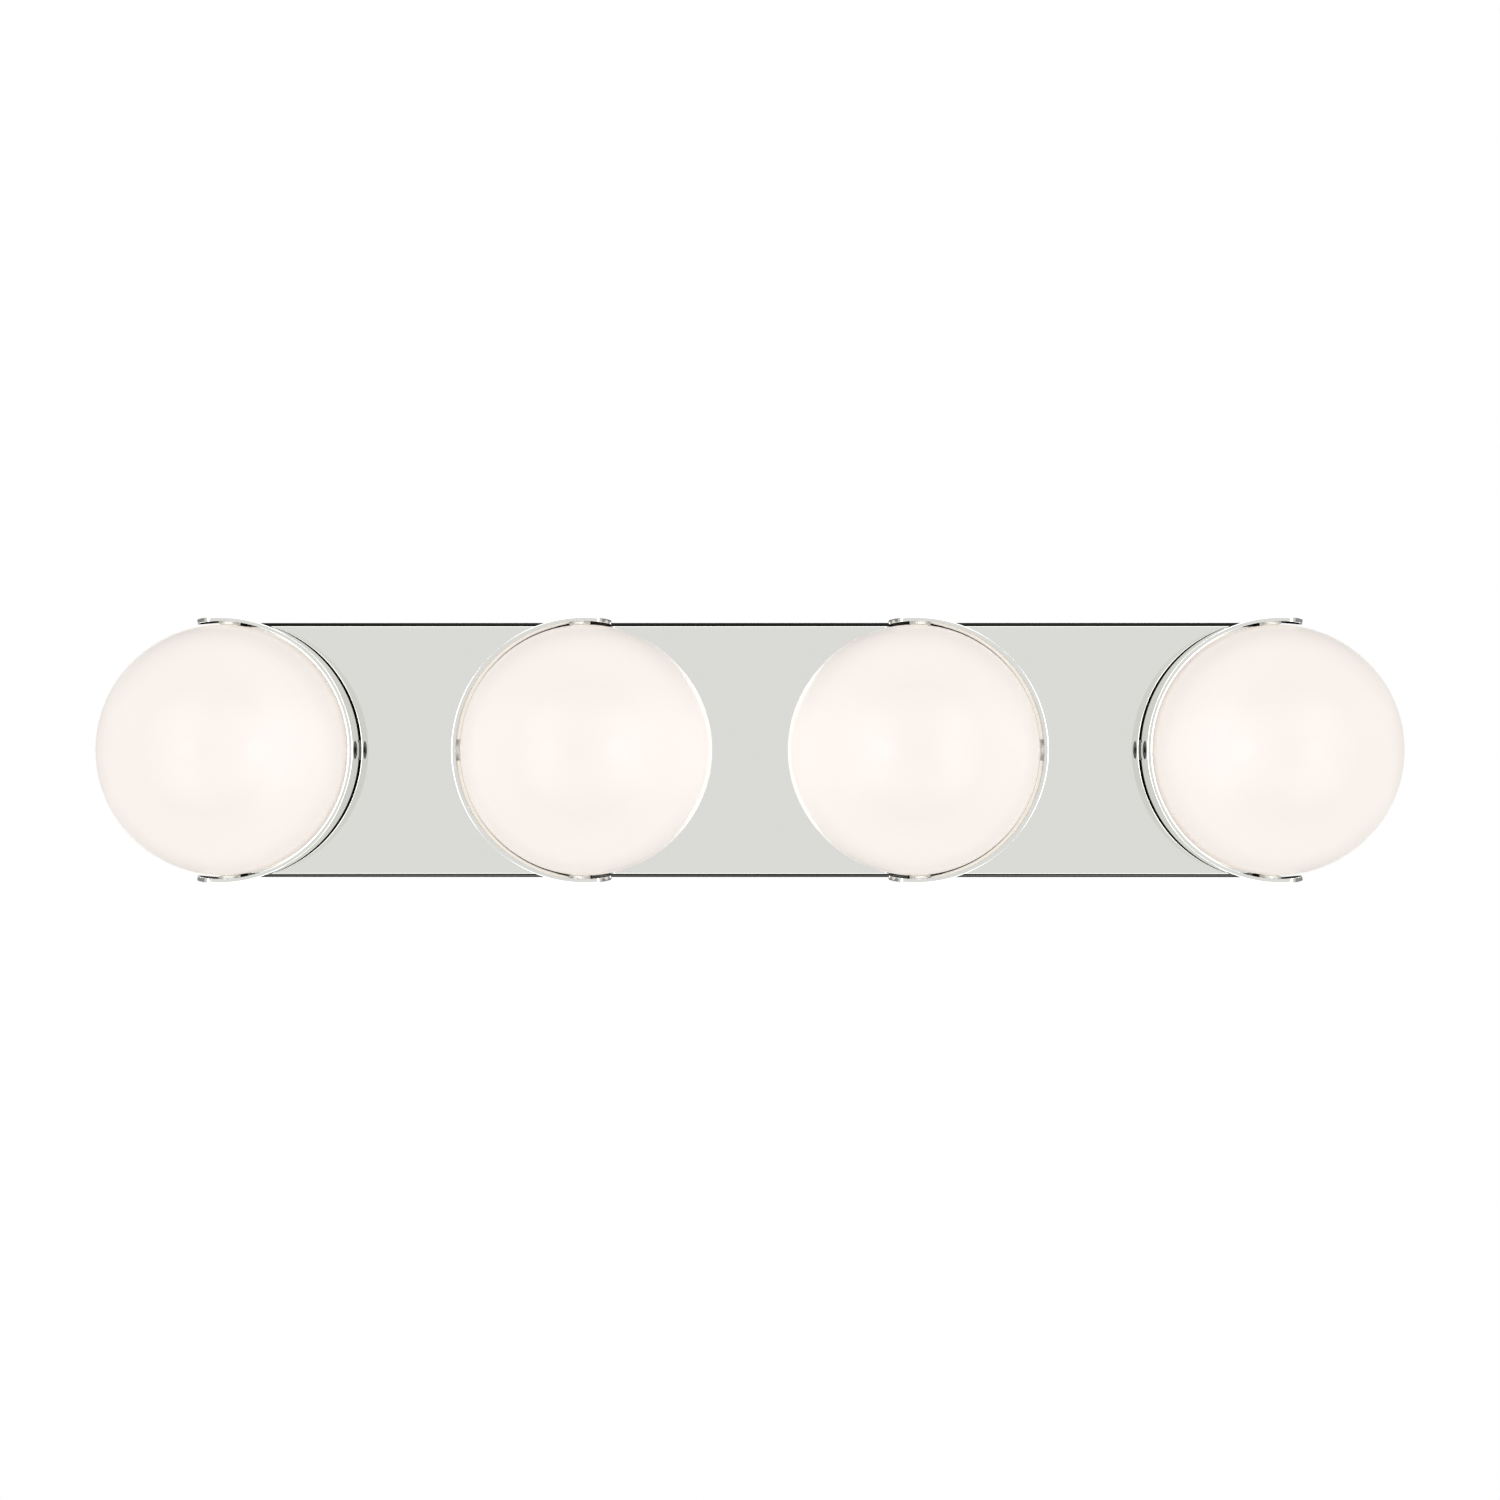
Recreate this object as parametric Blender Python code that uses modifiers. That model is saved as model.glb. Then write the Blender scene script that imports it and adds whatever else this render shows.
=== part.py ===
"""Vanity light bar: a polished pan on a wall bracket, with four opal glass domes in C-shaped straps.

Metres, +Z up, +X to the right when facing the light, -Y out of the wall.
The origin is the middle of the wall bracket's back face, on the wall.
Each head has its own empty, whose local Z points out of the wall and whose local Y points up, so that
a turned profile is a list of (radius, distance from the wall) pairs.
"""

import math

import bmesh
import bpy
from mathutils import Matrix, Vector

MM = 0.001
GAP = 0.3 * MM                      # the clearance kept between pieces that touch

# --- driving dimensions ------------------------------------------------------------------------
HEAD_X = (-260 * MM, -81 * MM, 81 * MM, 260 * MM)
STRAP_SIDE = (1, -1, 1, -1)         # which side of its head each strap closes: +1 right, -1 left

PAN_HEIGHT = 127.5 * MM
PAN_DEPTH = 28 * MM
PAN_END_X = 255 * MM                # centre of each rounded end
PAN_SHEET = 1.4 * MM
PAN_EDGE = 2.2 * MM                 # rounding of the front edge

STRAP_RADIUS = 65.3 * MM
STRAP_SHEET = 1.9 * MM
STRAP_BACK = PAN_DEPTH + 3.6 * MM
STRAP_WIDTH = 16.4 * MM
STRAP_STEPS = 27
STRAP_STEP = math.radians(7.5)
STRAP_MIDDLE = STRAP_BACK + STRAP_WIDTH / 2

GLASS_RADIUS = 61.9 * MM            # at the widest ring, where the knurled screws bear on it
GLASS_FRONT = PAN_DEPTH + 49.5 * MM
GLASS_WALL = 3 * MM
GLASS_STEPS = 6                     # facets from the front to the widest ring

SCREW_HOLE = 4.6 * MM
SCREW_END = 4.3 * MM
SCREW_TURN = math.radians(87.2)     # from a strap's middle round to its outer screws
KNURL_RADIUS = 5.2 * MM
KNURL_LENGTH = 0.65 * MM

STEM_RADIUS = 5 * MM
STEM_BORE = 4 * MM
STEM_END = 19 * MM                  # distance of the stem's end from the wall
FLANGE_RADIUS = 60.6 * MM
FLANGE_SHEET = 1 * MM
COLLAR_RADIUS = 56.2 * MM           # the ring that centres the glass
COLLAR_SHEET = 1.4 * MM
COLLAR_HEIGHT = 9 * MM
GASKET_SHEET = 0.8 * MM
GASKET_OUTER = 60 * MM
GASKET_INNER = 57 * MM
GLASS_RIM = PAN_DEPTH + FLANGE_SHEET + GASKET_SHEET + 3 * GAP
EAR_ROOT = 58.2 * MM
EAR_END = STRAP_RADIUS - 0.1 * MM
EAR_WIDTH = 10 * MM
EAR_SHEET = 0.8 * MM
NUT_RADIUS = 8.6 * MM
NUT_HEIGHT = 4.8 * MM

BRACKET_LENGTH = 210 * MM
BRACKET_HEIGHT = 123.8 * MM
BRACKET_SHEET = 1.5 * MM
BRACKET_FLANGE = 16 * MM
BOX_SCREW_SPACING = 83.3 * MM
BOX_SLOT_LENGTH = 22 * MM
BOX_SLOT_HEIGHT = 4.8 * MM
ANCHOR_X = 92 * MM
ANCHOR_Z = 45 * MM
ANCHOR_RADIUS = 2.5 * MM
SUPPLY_Z = -22 * MM
SUPPLY_RADIUS = 11 * MM
SIDE_SCREW_X = HEAD_X[2]
SIDE_SCREW_DEPTH = 9 * MM
SIDE_THREAD_RADIUS = 2 * MM
GROUND_X = 45 * MM
GROUND_Z = -38 * MM
SMALL_HOLE = 2.1 * MM               # clearance for the side screws and the earthing screw

HOLDER_HEIGHT = 16.4 * MM
HOLDER_RADIUS = 9.5 * MM
HOLDER_FOOT_RADIUS = 14 * MM
HOLDER_FOOT_HEIGHT = 3 * MM
WIRE_RECESS_RADIUS = 3.4 * MM
WIRE_RECESS_DEPTH = 6.5 * MM
PIN_SPACING = 9 * MM
WIRE_RADIUS = 0.9 * MM
WIRE_DEPTH = 10 * MM
WIRE_ROW = 9 * MM                   # height of each lead above or below the bar's middle
WIRE_SPREAD = 1.7 * MM              # from a stem's middle to each of its two wires
NUT_DEPTH = 12 * MM                 # distance of the wire nuts from the wall
TAIL_X = 12 * MM
TAIL_END = 32 * MM
WIRE_NUT_Z = 27 * MM
GROUND_NUT_X = 26 * MM

TURNED_STEPS = 24
HOLE_STEPS = 12

# --- materials: colour, roughness, metallic ----------------------------------------------------
FINISHES = {
    "polished_nickel": ((0.70, 0.69, 0.66, 1), 0.12, 1.0),
    "zinc_plated_steel": ((0.55, 0.56, 0.56, 1), 0.35, 1.0),
    "etched_opal_glass": ((0.93, 0.91, 0.88, 1), 0.45, 0.0),
    "porcelain": ((0.86, 0.85, 0.81, 1), 0.25, 0.0),
    "lamp_glass": ((0.95, 0.93, 0.85, 1), 0.20, 0.0),
    "silicone": ((0.80, 0.80, 0.78, 1), 0.60, 0.0),
    "blackened_steel": ((0.02, 0.02, 0.02, 1), 0.40, 1.0),
    "green_steel": ((0.03, 0.25, 0.08, 1), 0.40, 0.6),
    "black_insulation": ((0.02, 0.02, 0.02, 1), 0.45, 0.0),
    "white_insulation": ((0.85, 0.85, 0.83, 1), 0.45, 0.0),
    "bare_copper": ((0.72, 0.36, 0.20, 1), 0.35, 1.0),
    "orange_nylon": ((0.85, 0.28, 0.03, 1), 0.50, 0.0),
    "green_nylon": ((0.05, 0.35, 0.10, 1), 0.50, 0.0),
}


def clear_scene():
    for old in list(bpy.data.objects):
        bpy.data.objects.remove(old, do_unlink=True)


def new_collection(name):
    collection = bpy.data.collections.new(name)
    bpy.context.scene.collection.children.link(collection)
    return collection


def make_materials():
    for name, (colour, roughness, metallic) in FINISHES.items():
        material = bpy.data.materials.new(name)
        material.use_nodes = True
        shader = material.node_tree.nodes["Principled BSDF"]
        shader.inputs["Base Color"].default_value = colour
        shader.inputs["Roughness"].default_value = roughness
        shader.inputs["Metallic"].default_value = metallic


def place(data, name, finish=None, parent=None, matrix=None):
    """Put a mesh or a curve in the parts' collection, or in the cutters' when it has no finish."""
    piece = bpy.data.objects.new(name, data)
    if finish is None:
        CUTTERS.objects.link(piece)
        piece.hide_render = True
        piece.display_type = "WIRE"
    else:
        PARTS.objects.link(piece)
        data.materials.append(bpy.data.materials[finish])
    piece.parent = parent
    if matrix is not None:
        piece.matrix_local = matrix
    return piece


def finish_mesh(bm, name, crease=35):
    mesh = bpy.data.meshes.new(name)
    bm.to_mesh(mesh)
    bm.free()
    mesh.shade_smooth()
    mesh.set_sharp_from_angle(angle=math.radians(crease))
    return mesh


def cut(piece, cutter, operation="DIFFERENCE"):
    boolean = piece.modifiers.new(cutter.name, "BOOLEAN")
    boolean.object = cutter
    boolean.operation = operation
    boolean.solver = "EXACT"


def turned(name, profile, finish, parent=None, matrix=None, steps=TURNED_STEPS, closed=False):
    """A profile of (radius, height) pairs, listed down its outer side, spun round local Z."""
    bm = bmesh.new()
    points = [bm.verts.new((radius, 0, height)) for radius, height in profile]
    pairs = list(zip(points, points[1:]))
    if closed:
        pairs.append((points[-1], points[0]))
    for first, second in pairs:
        bm.edges.new((first, second))
    piece = place(finish_mesh(bm, name), name, finish, parent, matrix)
    screw = piece.modifiers.new("Turn", "SCREW")
    screw.steps = steps
    screw.render_steps = steps
    screw.use_merge_vertices = True
    screw.merge_threshold = 0.00002
    screw.use_smooth_shade = True
    return piece


def block(name, size, centre, finish=None, parent=None, bevel=0):
    """A box of a given size, with its edges rounded if bevel is given."""
    bm = bmesh.new()
    bmesh.ops.create_cube(bm, size=1)
    bmesh.ops.scale(bm, vec=size, verts=bm.verts)
    if bevel:
        bmesh.ops.bevel(bm, geom=bm.edges[:], offset=bevel, segments=1, affect="EDGES", profile=0.5)
    bmesh.ops.translate(bm, vec=centre, verts=bm.verts)
    return place(finish_mesh(bm, name), name, finish, parent)


def peg(name, radius, length, matrix, parent=None, segments=16):
    """A cylinder along local Z, used as a cutter."""
    bm = bmesh.new()
    bmesh.ops.create_cone(bm, cap_ends=True, segments=segments, radius1=radius, radius2=radius,
                          depth=length)
    return place(finish_mesh(bm, name), name, None, parent, matrix)


def facing(direction, point):
    """A placement at point whose local Z runs along direction."""
    return Matrix.Translation(point) @ Vector(direction).to_track_quat("Z", "Y").to_matrix().to_4x4()


def out_of_wall(x, z, distance=0.0):
    """A placement at (x, z) whose local Z is the distance from the wall."""
    return facing((0, -1, 0), (x, -distance, z))


# --- shared pieces -----------------------------------------------------------------------------
def make_wall_bracket():
    """A steel channel: a flat back with its top and bottom edges turned out of the wall."""
    half_length = BRACKET_LENGTH / 2
    half_height = BRACKET_HEIGHT / 2
    bm = bmesh.new()
    corners = [(-half_length, -BRACKET_FLANGE, -half_height), (-half_length, 0, -half_height),
               (-half_length, 0, half_height), (-half_length, -BRACKET_FLANGE, half_height)]
    verts = [bm.verts.new(corner) for corner in corners]
    edges = [bm.edges.new(pair) for pair in zip(verts, verts[1:])]
    swept = bmesh.ops.extrude_edge_only(bm, edges=edges)["geom"]
    moved = [item for item in swept if isinstance(item, bmesh.types.BMVert)]
    bmesh.ops.translate(bm, vec=(BRACKET_LENGTH, 0, 0), verts=moved)
    bmesh.ops.recalc_face_normals(bm, faces=bm.faces)
    back = max(bm.faces, key=lambda face: face.calc_area())
    if back.normal.y < 0:
        bmesh.ops.reverse_faces(bm, faces=bm.faces)
    bracket = place(finish_mesh(bm, "wall_bracket", 20), "wall_bracket", "zinc_plated_steel")
    wall = bracket.modifiers.new("Sheet", "SOLIDIFY")
    wall.thickness = BRACKET_SHEET
    wall.offset = -1
    wall.use_even_offset = True
    for side in (-1, 1):
        slot = block(f"box_slot_cutter_{side}", (BOX_SLOT_LENGTH, 4 * BRACKET_SHEET, BOX_SLOT_HEIGHT),
                     (side * BOX_SCREW_SPACING / 2, 0, 0))
        cut(bracket, slot)
        for level in (-1, 1):
            anchor = peg(f"anchor_cutter_{side}_{level}", ANCHOR_RADIUS, 4 * BRACKET_SHEET,
                         out_of_wall(side * ANCHOR_X, level * ANCHOR_Z), segments=HOLE_STEPS)
            cut(bracket, anchor)
            tapped = peg(f"tapped_cutter_{side}_{level}", SIDE_THREAD_RADIUS, 6 * BRACKET_SHEET,
                         Matrix.Translation((side * SIDE_SCREW_X, -SIDE_SCREW_DEPTH, level * half_height)),
                         segments=HOLE_STEPS)
            cut(bracket, tapped)
    cut(bracket, peg("supply_cutter", SUPPLY_RADIUS, 4 * BRACKET_SHEET, out_of_wall(0, SUPPLY_Z), segments=20))
    cut(bracket, peg("ground_cutter", SMALL_HOLE, 4 * BRACKET_SHEET, out_of_wall(GROUND_X, GROUND_Z),
                     segments=HOLE_STEPS))
    return bracket


def make_backplate():
    """The pan: one pressed sheet with round ends, a rounded front edge and an open back."""
    half_height = PAN_HEIGHT / 2
    bm = bmesh.new()
    end = bm.verts.new((PAN_END_X, -PAN_DEPTH, half_height))
    bmesh.ops.spin(bm, geom=[end], cent=(PAN_END_X, -PAN_DEPTH, 0), axis=(0, 1, 0), angle=math.pi,
                   steps=TURNED_STEPS // 2)
    mirrored = bmesh.ops.duplicate(bm, geom=bm.verts[:] + bm.edges[:])["geom"]
    bmesh.ops.rotate(bm, cent=(0, 0, 0), matrix=Matrix.Rotation(math.pi, 3, "Y"),
                     verts=[item for item in mirrored if isinstance(item, bmesh.types.BMVert)])
    ends = [vert for vert in bm.verts if len(vert.link_edges) == 1]
    for level in (-1, 1):
        pair = [vert for vert in ends if vert.co.z * level > 0]
        bm.edges.new(pair)
    rim = bm.edges[:]
    bmesh.ops.contextual_create(bm, geom=rim)
    walls = bmesh.ops.extrude_edge_only(bm, edges=rim)["geom"]
    back = [item for item in walls if isinstance(item, bmesh.types.BMVert)]
    bmesh.ops.translate(bm, vec=(0, PAN_DEPTH, 0), verts=back)
    bmesh.ops.recalc_face_normals(bm, faces=bm.faces)
    front = max(bm.faces, key=lambda face: face.calc_area())
    if front.normal.y > 0:
        bmesh.ops.reverse_faces(bm, faces=bm.faces)
    bmesh.ops.bevel(bm, geom=list(front.edges), offset=PAN_EDGE, segments=2, affect="EDGES",
                    profile=0.5, clamp_overlap=True)
    pan = place(finish_mesh(bm, "backplate"), "backplate", "polished_nickel")
    sheet = pan.modifiers.new("Sheet", "SOLIDIFY")
    sheet.thickness = PAN_SHEET
    sheet.offset = -1
    sheet.use_even_offset = True
    for number, x in enumerate(HEAD_X, 1):
        cut(pan, peg(f"stem_cutter_{number}", STEM_RADIUS + GAP, 6 * PAN_SHEET,
                     out_of_wall(x, 0, PAN_DEPTH)))
    for side in (-1, 1):
        for level in (-1, 1):
            cut(pan, peg(f"side_cutter_{side}_{level}", SMALL_HOLE, 6 * PAN_SHEET,
                         Matrix.Translation((side * SIDE_SCREW_X, -SIDE_SCREW_DEPTH, level * half_height)),
                         segments=HOLE_STEPS))
    return pan


def make_side_screws():
    """Four small screws that hold the pan to the bracket's turned edges."""
    head_bottom = PAN_HEIGHT / 2 + GAP
    head_top = head_bottom + 1.1 * MM
    tip = head_bottom - 7 * MM
    profile = ((0, head_top), (2.4 * MM, head_top), (3.4 * MM, head_bottom), (1.7 * MM, head_bottom),
               (1.7 * MM, tip), (0, tip))
    for side, hand in ((-1, "left"), (1, "right")):
        for level, row in ((1, "top"), (-1, "bottom")):
            matrix = facing((0, 0, level), (side * SIDE_SCREW_X, -SIDE_SCREW_DEPTH, 0))
            turned(f"side_screw_{row}_{hand}", profile, "zinc_plated_steel", matrix=matrix, steps=HOLE_STEPS)


def make_ground_screw():
    """The green earthing screw in the bracket."""
    under_head = BRACKET_SHEET + GAP
    head_top = under_head + 2.6 * MM
    profile = ((0, head_top), (4 * MM, head_top), (4 * MM, under_head), (1.8 * MM, under_head),
               (1.8 * MM, 0.2 * MM), (0, 0.2 * MM))
    turned("ground_screw", profile, "green_steel", matrix=out_of_wall(GROUND_X, GROUND_Z), steps=HOLE_STEPS)


def wire_solid(name, runs, finish):
    """A wire as one solid: each run is a tube through its points, and the runs are joined."""
    tubes = []
    for number, points in enumerate(runs):
        curve = bpy.data.curves.new(f"{name}_run_{number}", "CURVE")
        curve.dimensions = "3D"
        curve.bevel_depth = WIRE_RADIUS
        curve.bevel_resolution = 1
        curve.use_fill_caps = True
        spline = curve.splines.new("POLY")
        spline.points.add(len(points) - 1)
        for point, (x, distance, z) in zip(spline.points, points):
            point.co = (x, -distance, z, 1)
        guide = bpy.data.objects.new(curve.name, curve)
        CUTTERS.objects.link(guide)
        graph = bpy.context.evaluated_depsgraph_get()
        mesh = bpy.data.meshes.new_from_object(guide.evaluated_get(graph))
        bpy.data.objects.remove(guide, do_unlink=True)
        bm = bmesh.new()
        bm.from_mesh(mesh)
        bmesh.ops.remove_doubles(bm, verts=bm.verts, dist=0.00001)
        bm.to_mesh(mesh)
        bm.free()
        mesh.shade_smooth()
        tubes.append(mesh)
    wire = place(tubes[0], name, finish)
    for number, mesh in enumerate(tubes[1:], 1):
        cut(wire, place(mesh, f"{name}_branch_{number}"), "UNION")
    return wire


def make_wires():
    """The two leads that join the lampholders, each with a tail to its wire nut, and the earth wire."""
    for name, level, finish in (("wire_black", 1, "black_insulation"), ("wire_white", -1, "white_insulation")):
        row = level * WIRE_ROW
        start = HEAD_X[0] - 6 * MM
        runs = [((start, WIRE_DEPTH, row), (-start, WIRE_DEPTH, row))]
        for x in HEAD_X:
            side = x + level * WIRE_SPREAD
            runs.append(((side, 35.5 * MM, 0), (side, 17 * MM, 0), (side, 13 * MM, level * 2.5 * MM),
                         (side, 10.6 * MM, level * 6 * MM), (side, WIRE_DEPTH + 0.1 * MM, row)))
        tail = level * TAIL_X
        runs.append(((tail, WIRE_DEPTH, row), (tail, 11 * MM, row + level * 7 * MM),
                     (tail, NUT_DEPTH, row + level * 13 * MM), (tail, NUT_DEPTH, level * TAIL_END)))
        wire_solid(name, runs, finish)
        matrix = facing((0, 0, level), (tail, -NUT_DEPTH, level * WIRE_NUT_Z))
        make_wire_nut(f"wire_nut_{name[5:]}", matrix, "orange_nylon")
    ground = ((40.4, 3.2), (36, 5), (32, 9), (28, 11.6), (21, 12))      # x and distance from the wall, in mm
    wire_solid("wire_ground", [[(x * MM, distance * MM, GROUND_Z) for x, distance in ground]], "bare_copper")
    make_wire_nut("wire_nut_ground", facing((-1, 0, 0), (GROUND_NUT_X, -NUT_DEPTH, GROUND_Z)), "green_nylon")


def make_wire_nut(name, matrix, finish):
    """A twist-on connector: a tapered cap, open at its wide end."""
    profile = ((0, 21 * MM), (2.6 * MM, 21 * MM), (3.8 * MM, 19 * MM), (5.6 * MM, 6 * MM), (7 * MM, 5 * MM),
               (7 * MM, 0), (3.6 * MM, 0), (2.6 * MM, 10 * MM), (0, 10 * MM))
    turned(name, profile, finish, matrix=matrix, steps=HOLE_STEPS)


# --- one head ----------------------------------------------------------------------------------
def make_head_empty(number, x):
    empty = bpy.data.objects.new(f"head_{number}", None)
    PARTS.objects.link(empty)
    empty.matrix_world = out_of_wall(x, 0)
    return empty


def dome_outline(radius, bulge):
    """Points down an ellipse from the dome's front, past its widest ring, to its rim."""
    angles = [math.pi / 2 * (1 - step / GLASS_STEPS) for step in range(GLASS_STEPS + 1)]
    angles.append(math.asin((GLASS_RIM - STRAP_MIDDLE) / bulge))
    points = [(radius * math.cos(angle), STRAP_MIDDLE + bulge * math.sin(angle)) for angle in angles]
    points[0] = (0, STRAP_MIDDLE + bulge)
    return points


def make_glass(number, head):
    """The opal dome: a hollow flattened globe, widest at the strap's middle and open at the back."""
    bulge = GLASS_FRONT - STRAP_MIDDLE
    outer = dome_outline(GLASS_RADIUS, bulge)
    inner = dome_outline(GLASS_RADIUS - GLASS_WALL, bulge - GLASS_WALL)
    return turned(f"glass_{number}", outer + inner[::-1], "etched_opal_glass", head, Matrix())


def make_fitter(number, head, side):
    """The dish that carries everything: a flange, a centring collar, a hollow stem and three ears."""
    seat = PAN_DEPTH + GAP
    top = seat + FLANGE_SHEET
    collar_top = seat + COLLAR_HEIGHT
    collar_inside = COLLAR_RADIUS - COLLAR_SHEET
    profile = ((COLLAR_RADIUS, collar_top), (COLLAR_RADIUS, top), (FLANGE_RADIUS, top), (FLANGE_RADIUS, seat),
               (STEM_RADIUS, seat), (STEM_RADIUS, STEM_END), (STEM_BORE, STEM_END), (STEM_BORE, top),
               (collar_inside, top), (collar_inside, collar_top))
    fitter = turned(f"fitter_{number}", profile, "polished_nickel", head, Matrix(), closed=True)
    for place_name, (across, up, _) in screw_directions(side):
        ear_name = f"ear_{number}_{place_name}"
        ear = place(make_ear(ear_name, math.atan2(up, across)), ear_name, None, head)
        cut(fitter, ear, "UNION")
    return fitter


def make_ear(name, turn):
    """An L-shaped ear: out from the flange under the glass, then up to the strap's back edge."""
    middle = (EAR_ROOT + EAR_END) / 2
    bottom = PAN_DEPTH + GAP + (FLANGE_SHEET - EAR_SHEET) / 2
    bm = bmesh.new()
    bmesh.ops.create_cube(bm, size=1)
    bmesh.ops.scale(bm, vec=(EAR_END - EAR_ROOT, EAR_WIDTH, EAR_SHEET), verts=bm.verts)
    bmesh.ops.translate(bm, vec=(middle, 0, bottom + EAR_SHEET / 2), verts=bm.verts)
    long_edges = [edge for edge in bm.edges if abs(edge.verts[0].co.x - edge.verts[1].co.x) > 1 * MM]
    bmesh.ops.subdivide_edges(bm, edges=long_edges, cuts=1)
    for vert in bm.verts:
        if abs(vert.co.x - middle) < 0.01 * MM:
            vert.co.x = STRAP_RADIUS - STRAP_SHEET + 0.1 * MM
    outer = [face for face in bm.faces if face.normal.z > 0.9 and face.calc_center_median().x > 63 * MM]
    raised = bmesh.ops.extrude_face_region(bm, geom=outer)["geom"]
    bmesh.ops.delete(bm, geom=outer, context="FACES")
    verts = [item for item in raised if isinstance(item, bmesh.types.BMVert)]
    bmesh.ops.translate(bm, vec=(0, 0, STRAP_BACK - GAP - bottom - EAR_SHEET), verts=verts)
    bmesh.ops.rotate(bm, cent=(0, 0, 0), matrix=Matrix.Rotation(turn, 3, "Z"), verts=bm.verts)
    return finish_mesh(bm, name)


def make_fitter_nut(number, head):
    """The hexagon nut that clamps the fitter's stem inside the pan."""
    bm = bmesh.new()
    bmesh.ops.create_cone(bm, cap_ends=True, segments=6, radius1=NUT_RADIUS, radius2=NUT_RADIUS,
                          depth=NUT_HEIGHT)
    inside = PAN_DEPTH - PAN_SHEET - GAP - NUT_HEIGHT / 2
    nut = place(finish_mesh(bm, f"fitter_nut_{number}"), f"fitter_nut_{number}", "zinc_plated_steel", head,
                Matrix.Translation((0, 0, inside)))
    cut(nut, peg(f"nut_cutter_{number}", STEM_RADIUS + GAP, 2 * NUT_HEIGHT,
                 Matrix.Translation((0, 0, inside)), head))
    return nut


def make_gasket(number, head):
    """The flat ring between the fitter's flange and the glass."""
    bottom = PAN_DEPTH + FLANGE_SHEET + 2 * GAP
    top = bottom + GASKET_SHEET
    profile = ((GASKET_OUTER, top), (GASKET_OUTER, bottom), (GASKET_INNER, bottom), (GASKET_INNER, top))
    return turned(f"gasket_{number}", profile, "silicone", head, Matrix(), closed=True)


def make_lampholder(number, head):
    """The porcelain holder, with a wire recess behind and two slots for the lamp's pins."""
    seat = PAN_DEPTH + FLANGE_SHEET + 2 * GAP
    face = seat + HOLDER_HEIGHT
    foot = seat + HOLDER_FOOT_HEIGHT
    chamfer = 0.8 * MM
    profile = ((0, face), (HOLDER_RADIUS - chamfer, face), (HOLDER_RADIUS, face - chamfer),
               (HOLDER_RADIUS, foot), (HOLDER_FOOT_RADIUS, foot), (HOLDER_FOOT_RADIUS, seat),
               (WIRE_RECESS_RADIUS, seat), (WIRE_RECESS_RADIUS, seat + WIRE_RECESS_DEPTH),
               (0, seat + WIRE_RECESS_DEPTH))
    holder = turned(f"lampholder_{number}", profile, "porcelain", head, Matrix(), steps=16)
    for side in (-1, 1):
        slot = block(f"pin_slot_{number}_{side}", (3 * MM, 2.6 * MM, 15 * MM),
                     (side * PIN_SPACING / 2, 0, face), parent=head)
        cut(holder, slot)
    return holder


def make_lamp(number, head):
    """The capsule lamp: a rounded body on two flat pins."""
    base = PAN_DEPTH + FLANGE_SHEET + 2 * GAP + HOLDER_HEIGHT + GAP
    profile = [(0, base + 14 * MM), (3 * MM, base + 13.6 * MM), (5.6 * MM, base + 12.2 * MM),
               (7.1 * MM, base + 10 * MM), (7.5 * MM, base + 7.8 * MM), (7.5 * MM, base + 4.2 * MM),
               (6.4 * MM, base + 3.4 * MM), (6.4 * MM, base), (0, base)]
    lamp = turned(f"lamp_{number}", profile, "lamp_glass", head, Matrix(), steps=16)
    for side in (-1, 1):
        pin = block(f"pin_{number}_{side}", (1.8 * MM, 1 * MM, 8 * MM),
                    (side * PIN_SPACING / 2, 0, base - 3 * MM), parent=head)
        cut(lamp, pin, "UNION")
    return lamp


def make_strap(number, head, side):
    """The C-shaped strap: a band round one side of the glass, with round tips and three holes."""
    bm = bmesh.new()
    sweep = STRAP_STEPS * STRAP_STEP
    first = bm.verts.new((STRAP_RADIUS, 0, STRAP_BACK))
    second = bm.verts.new((STRAP_RADIUS, 0, STRAP_BACK + STRAP_WIDTH))
    edge = bm.edges.new((first, second))
    bmesh.ops.rotate(bm, cent=(0, 0, 0), matrix=Matrix.Rotation(-sweep / 2, 3, "Z"), verts=bm.verts)
    bmesh.ops.spin(bm, geom=[edge], cent=(0, 0, 0), axis=(0, 0, 1), angle=sweep, steps=STRAP_STEPS)
    corners = [vert for vert in bm.verts if len(vert.link_edges) == 2]
    bmesh.ops.bevel(bm, geom=corners, offset=STRAP_WIDTH / 2 - 0.2 * MM, segments=3, affect="VERTICES",
                    profile=0.5)
    bmesh.ops.recalc_face_normals(bm, faces=bm.faces)
    bm.faces.ensure_lookup_table()
    sample = bm.faces[0]
    if sample.normal.xy.dot(sample.calc_center_median().xy) < 0:
        bmesh.ops.reverse_faces(bm, faces=bm.faces)
    turn = Matrix.Rotation(0 if side > 0 else math.pi, 4, "Z")
    strap = place(finish_mesh(bm, f"strap_{number}"), f"strap_{number}", "polished_nickel", head, turn)
    sheet = strap.modifiers.new("Sheet", "SOLIDIFY")
    sheet.thickness = STRAP_SHEET
    sheet.offset = -1
    for hole, direction in screw_directions(side):
        matrix = facing(direction, Vector(direction) * STRAP_RADIUS + Vector((0, 0, STRAP_MIDDLE)))
        cut(strap, peg(f"screw_cutter_{number}_{hole}", SCREW_HOLE, 10 * MM, matrix, head))
    return strap


def screw_directions(side):
    """The three places of the knurled screws, in a head's own axes."""
    across, up = side * math.cos(SCREW_TURN), math.sin(SCREW_TURN)
    return (("top", (across, up, 0)), ("middle", (side, 0, 0)), ("bottom", (across, -up, 0)))


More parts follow.
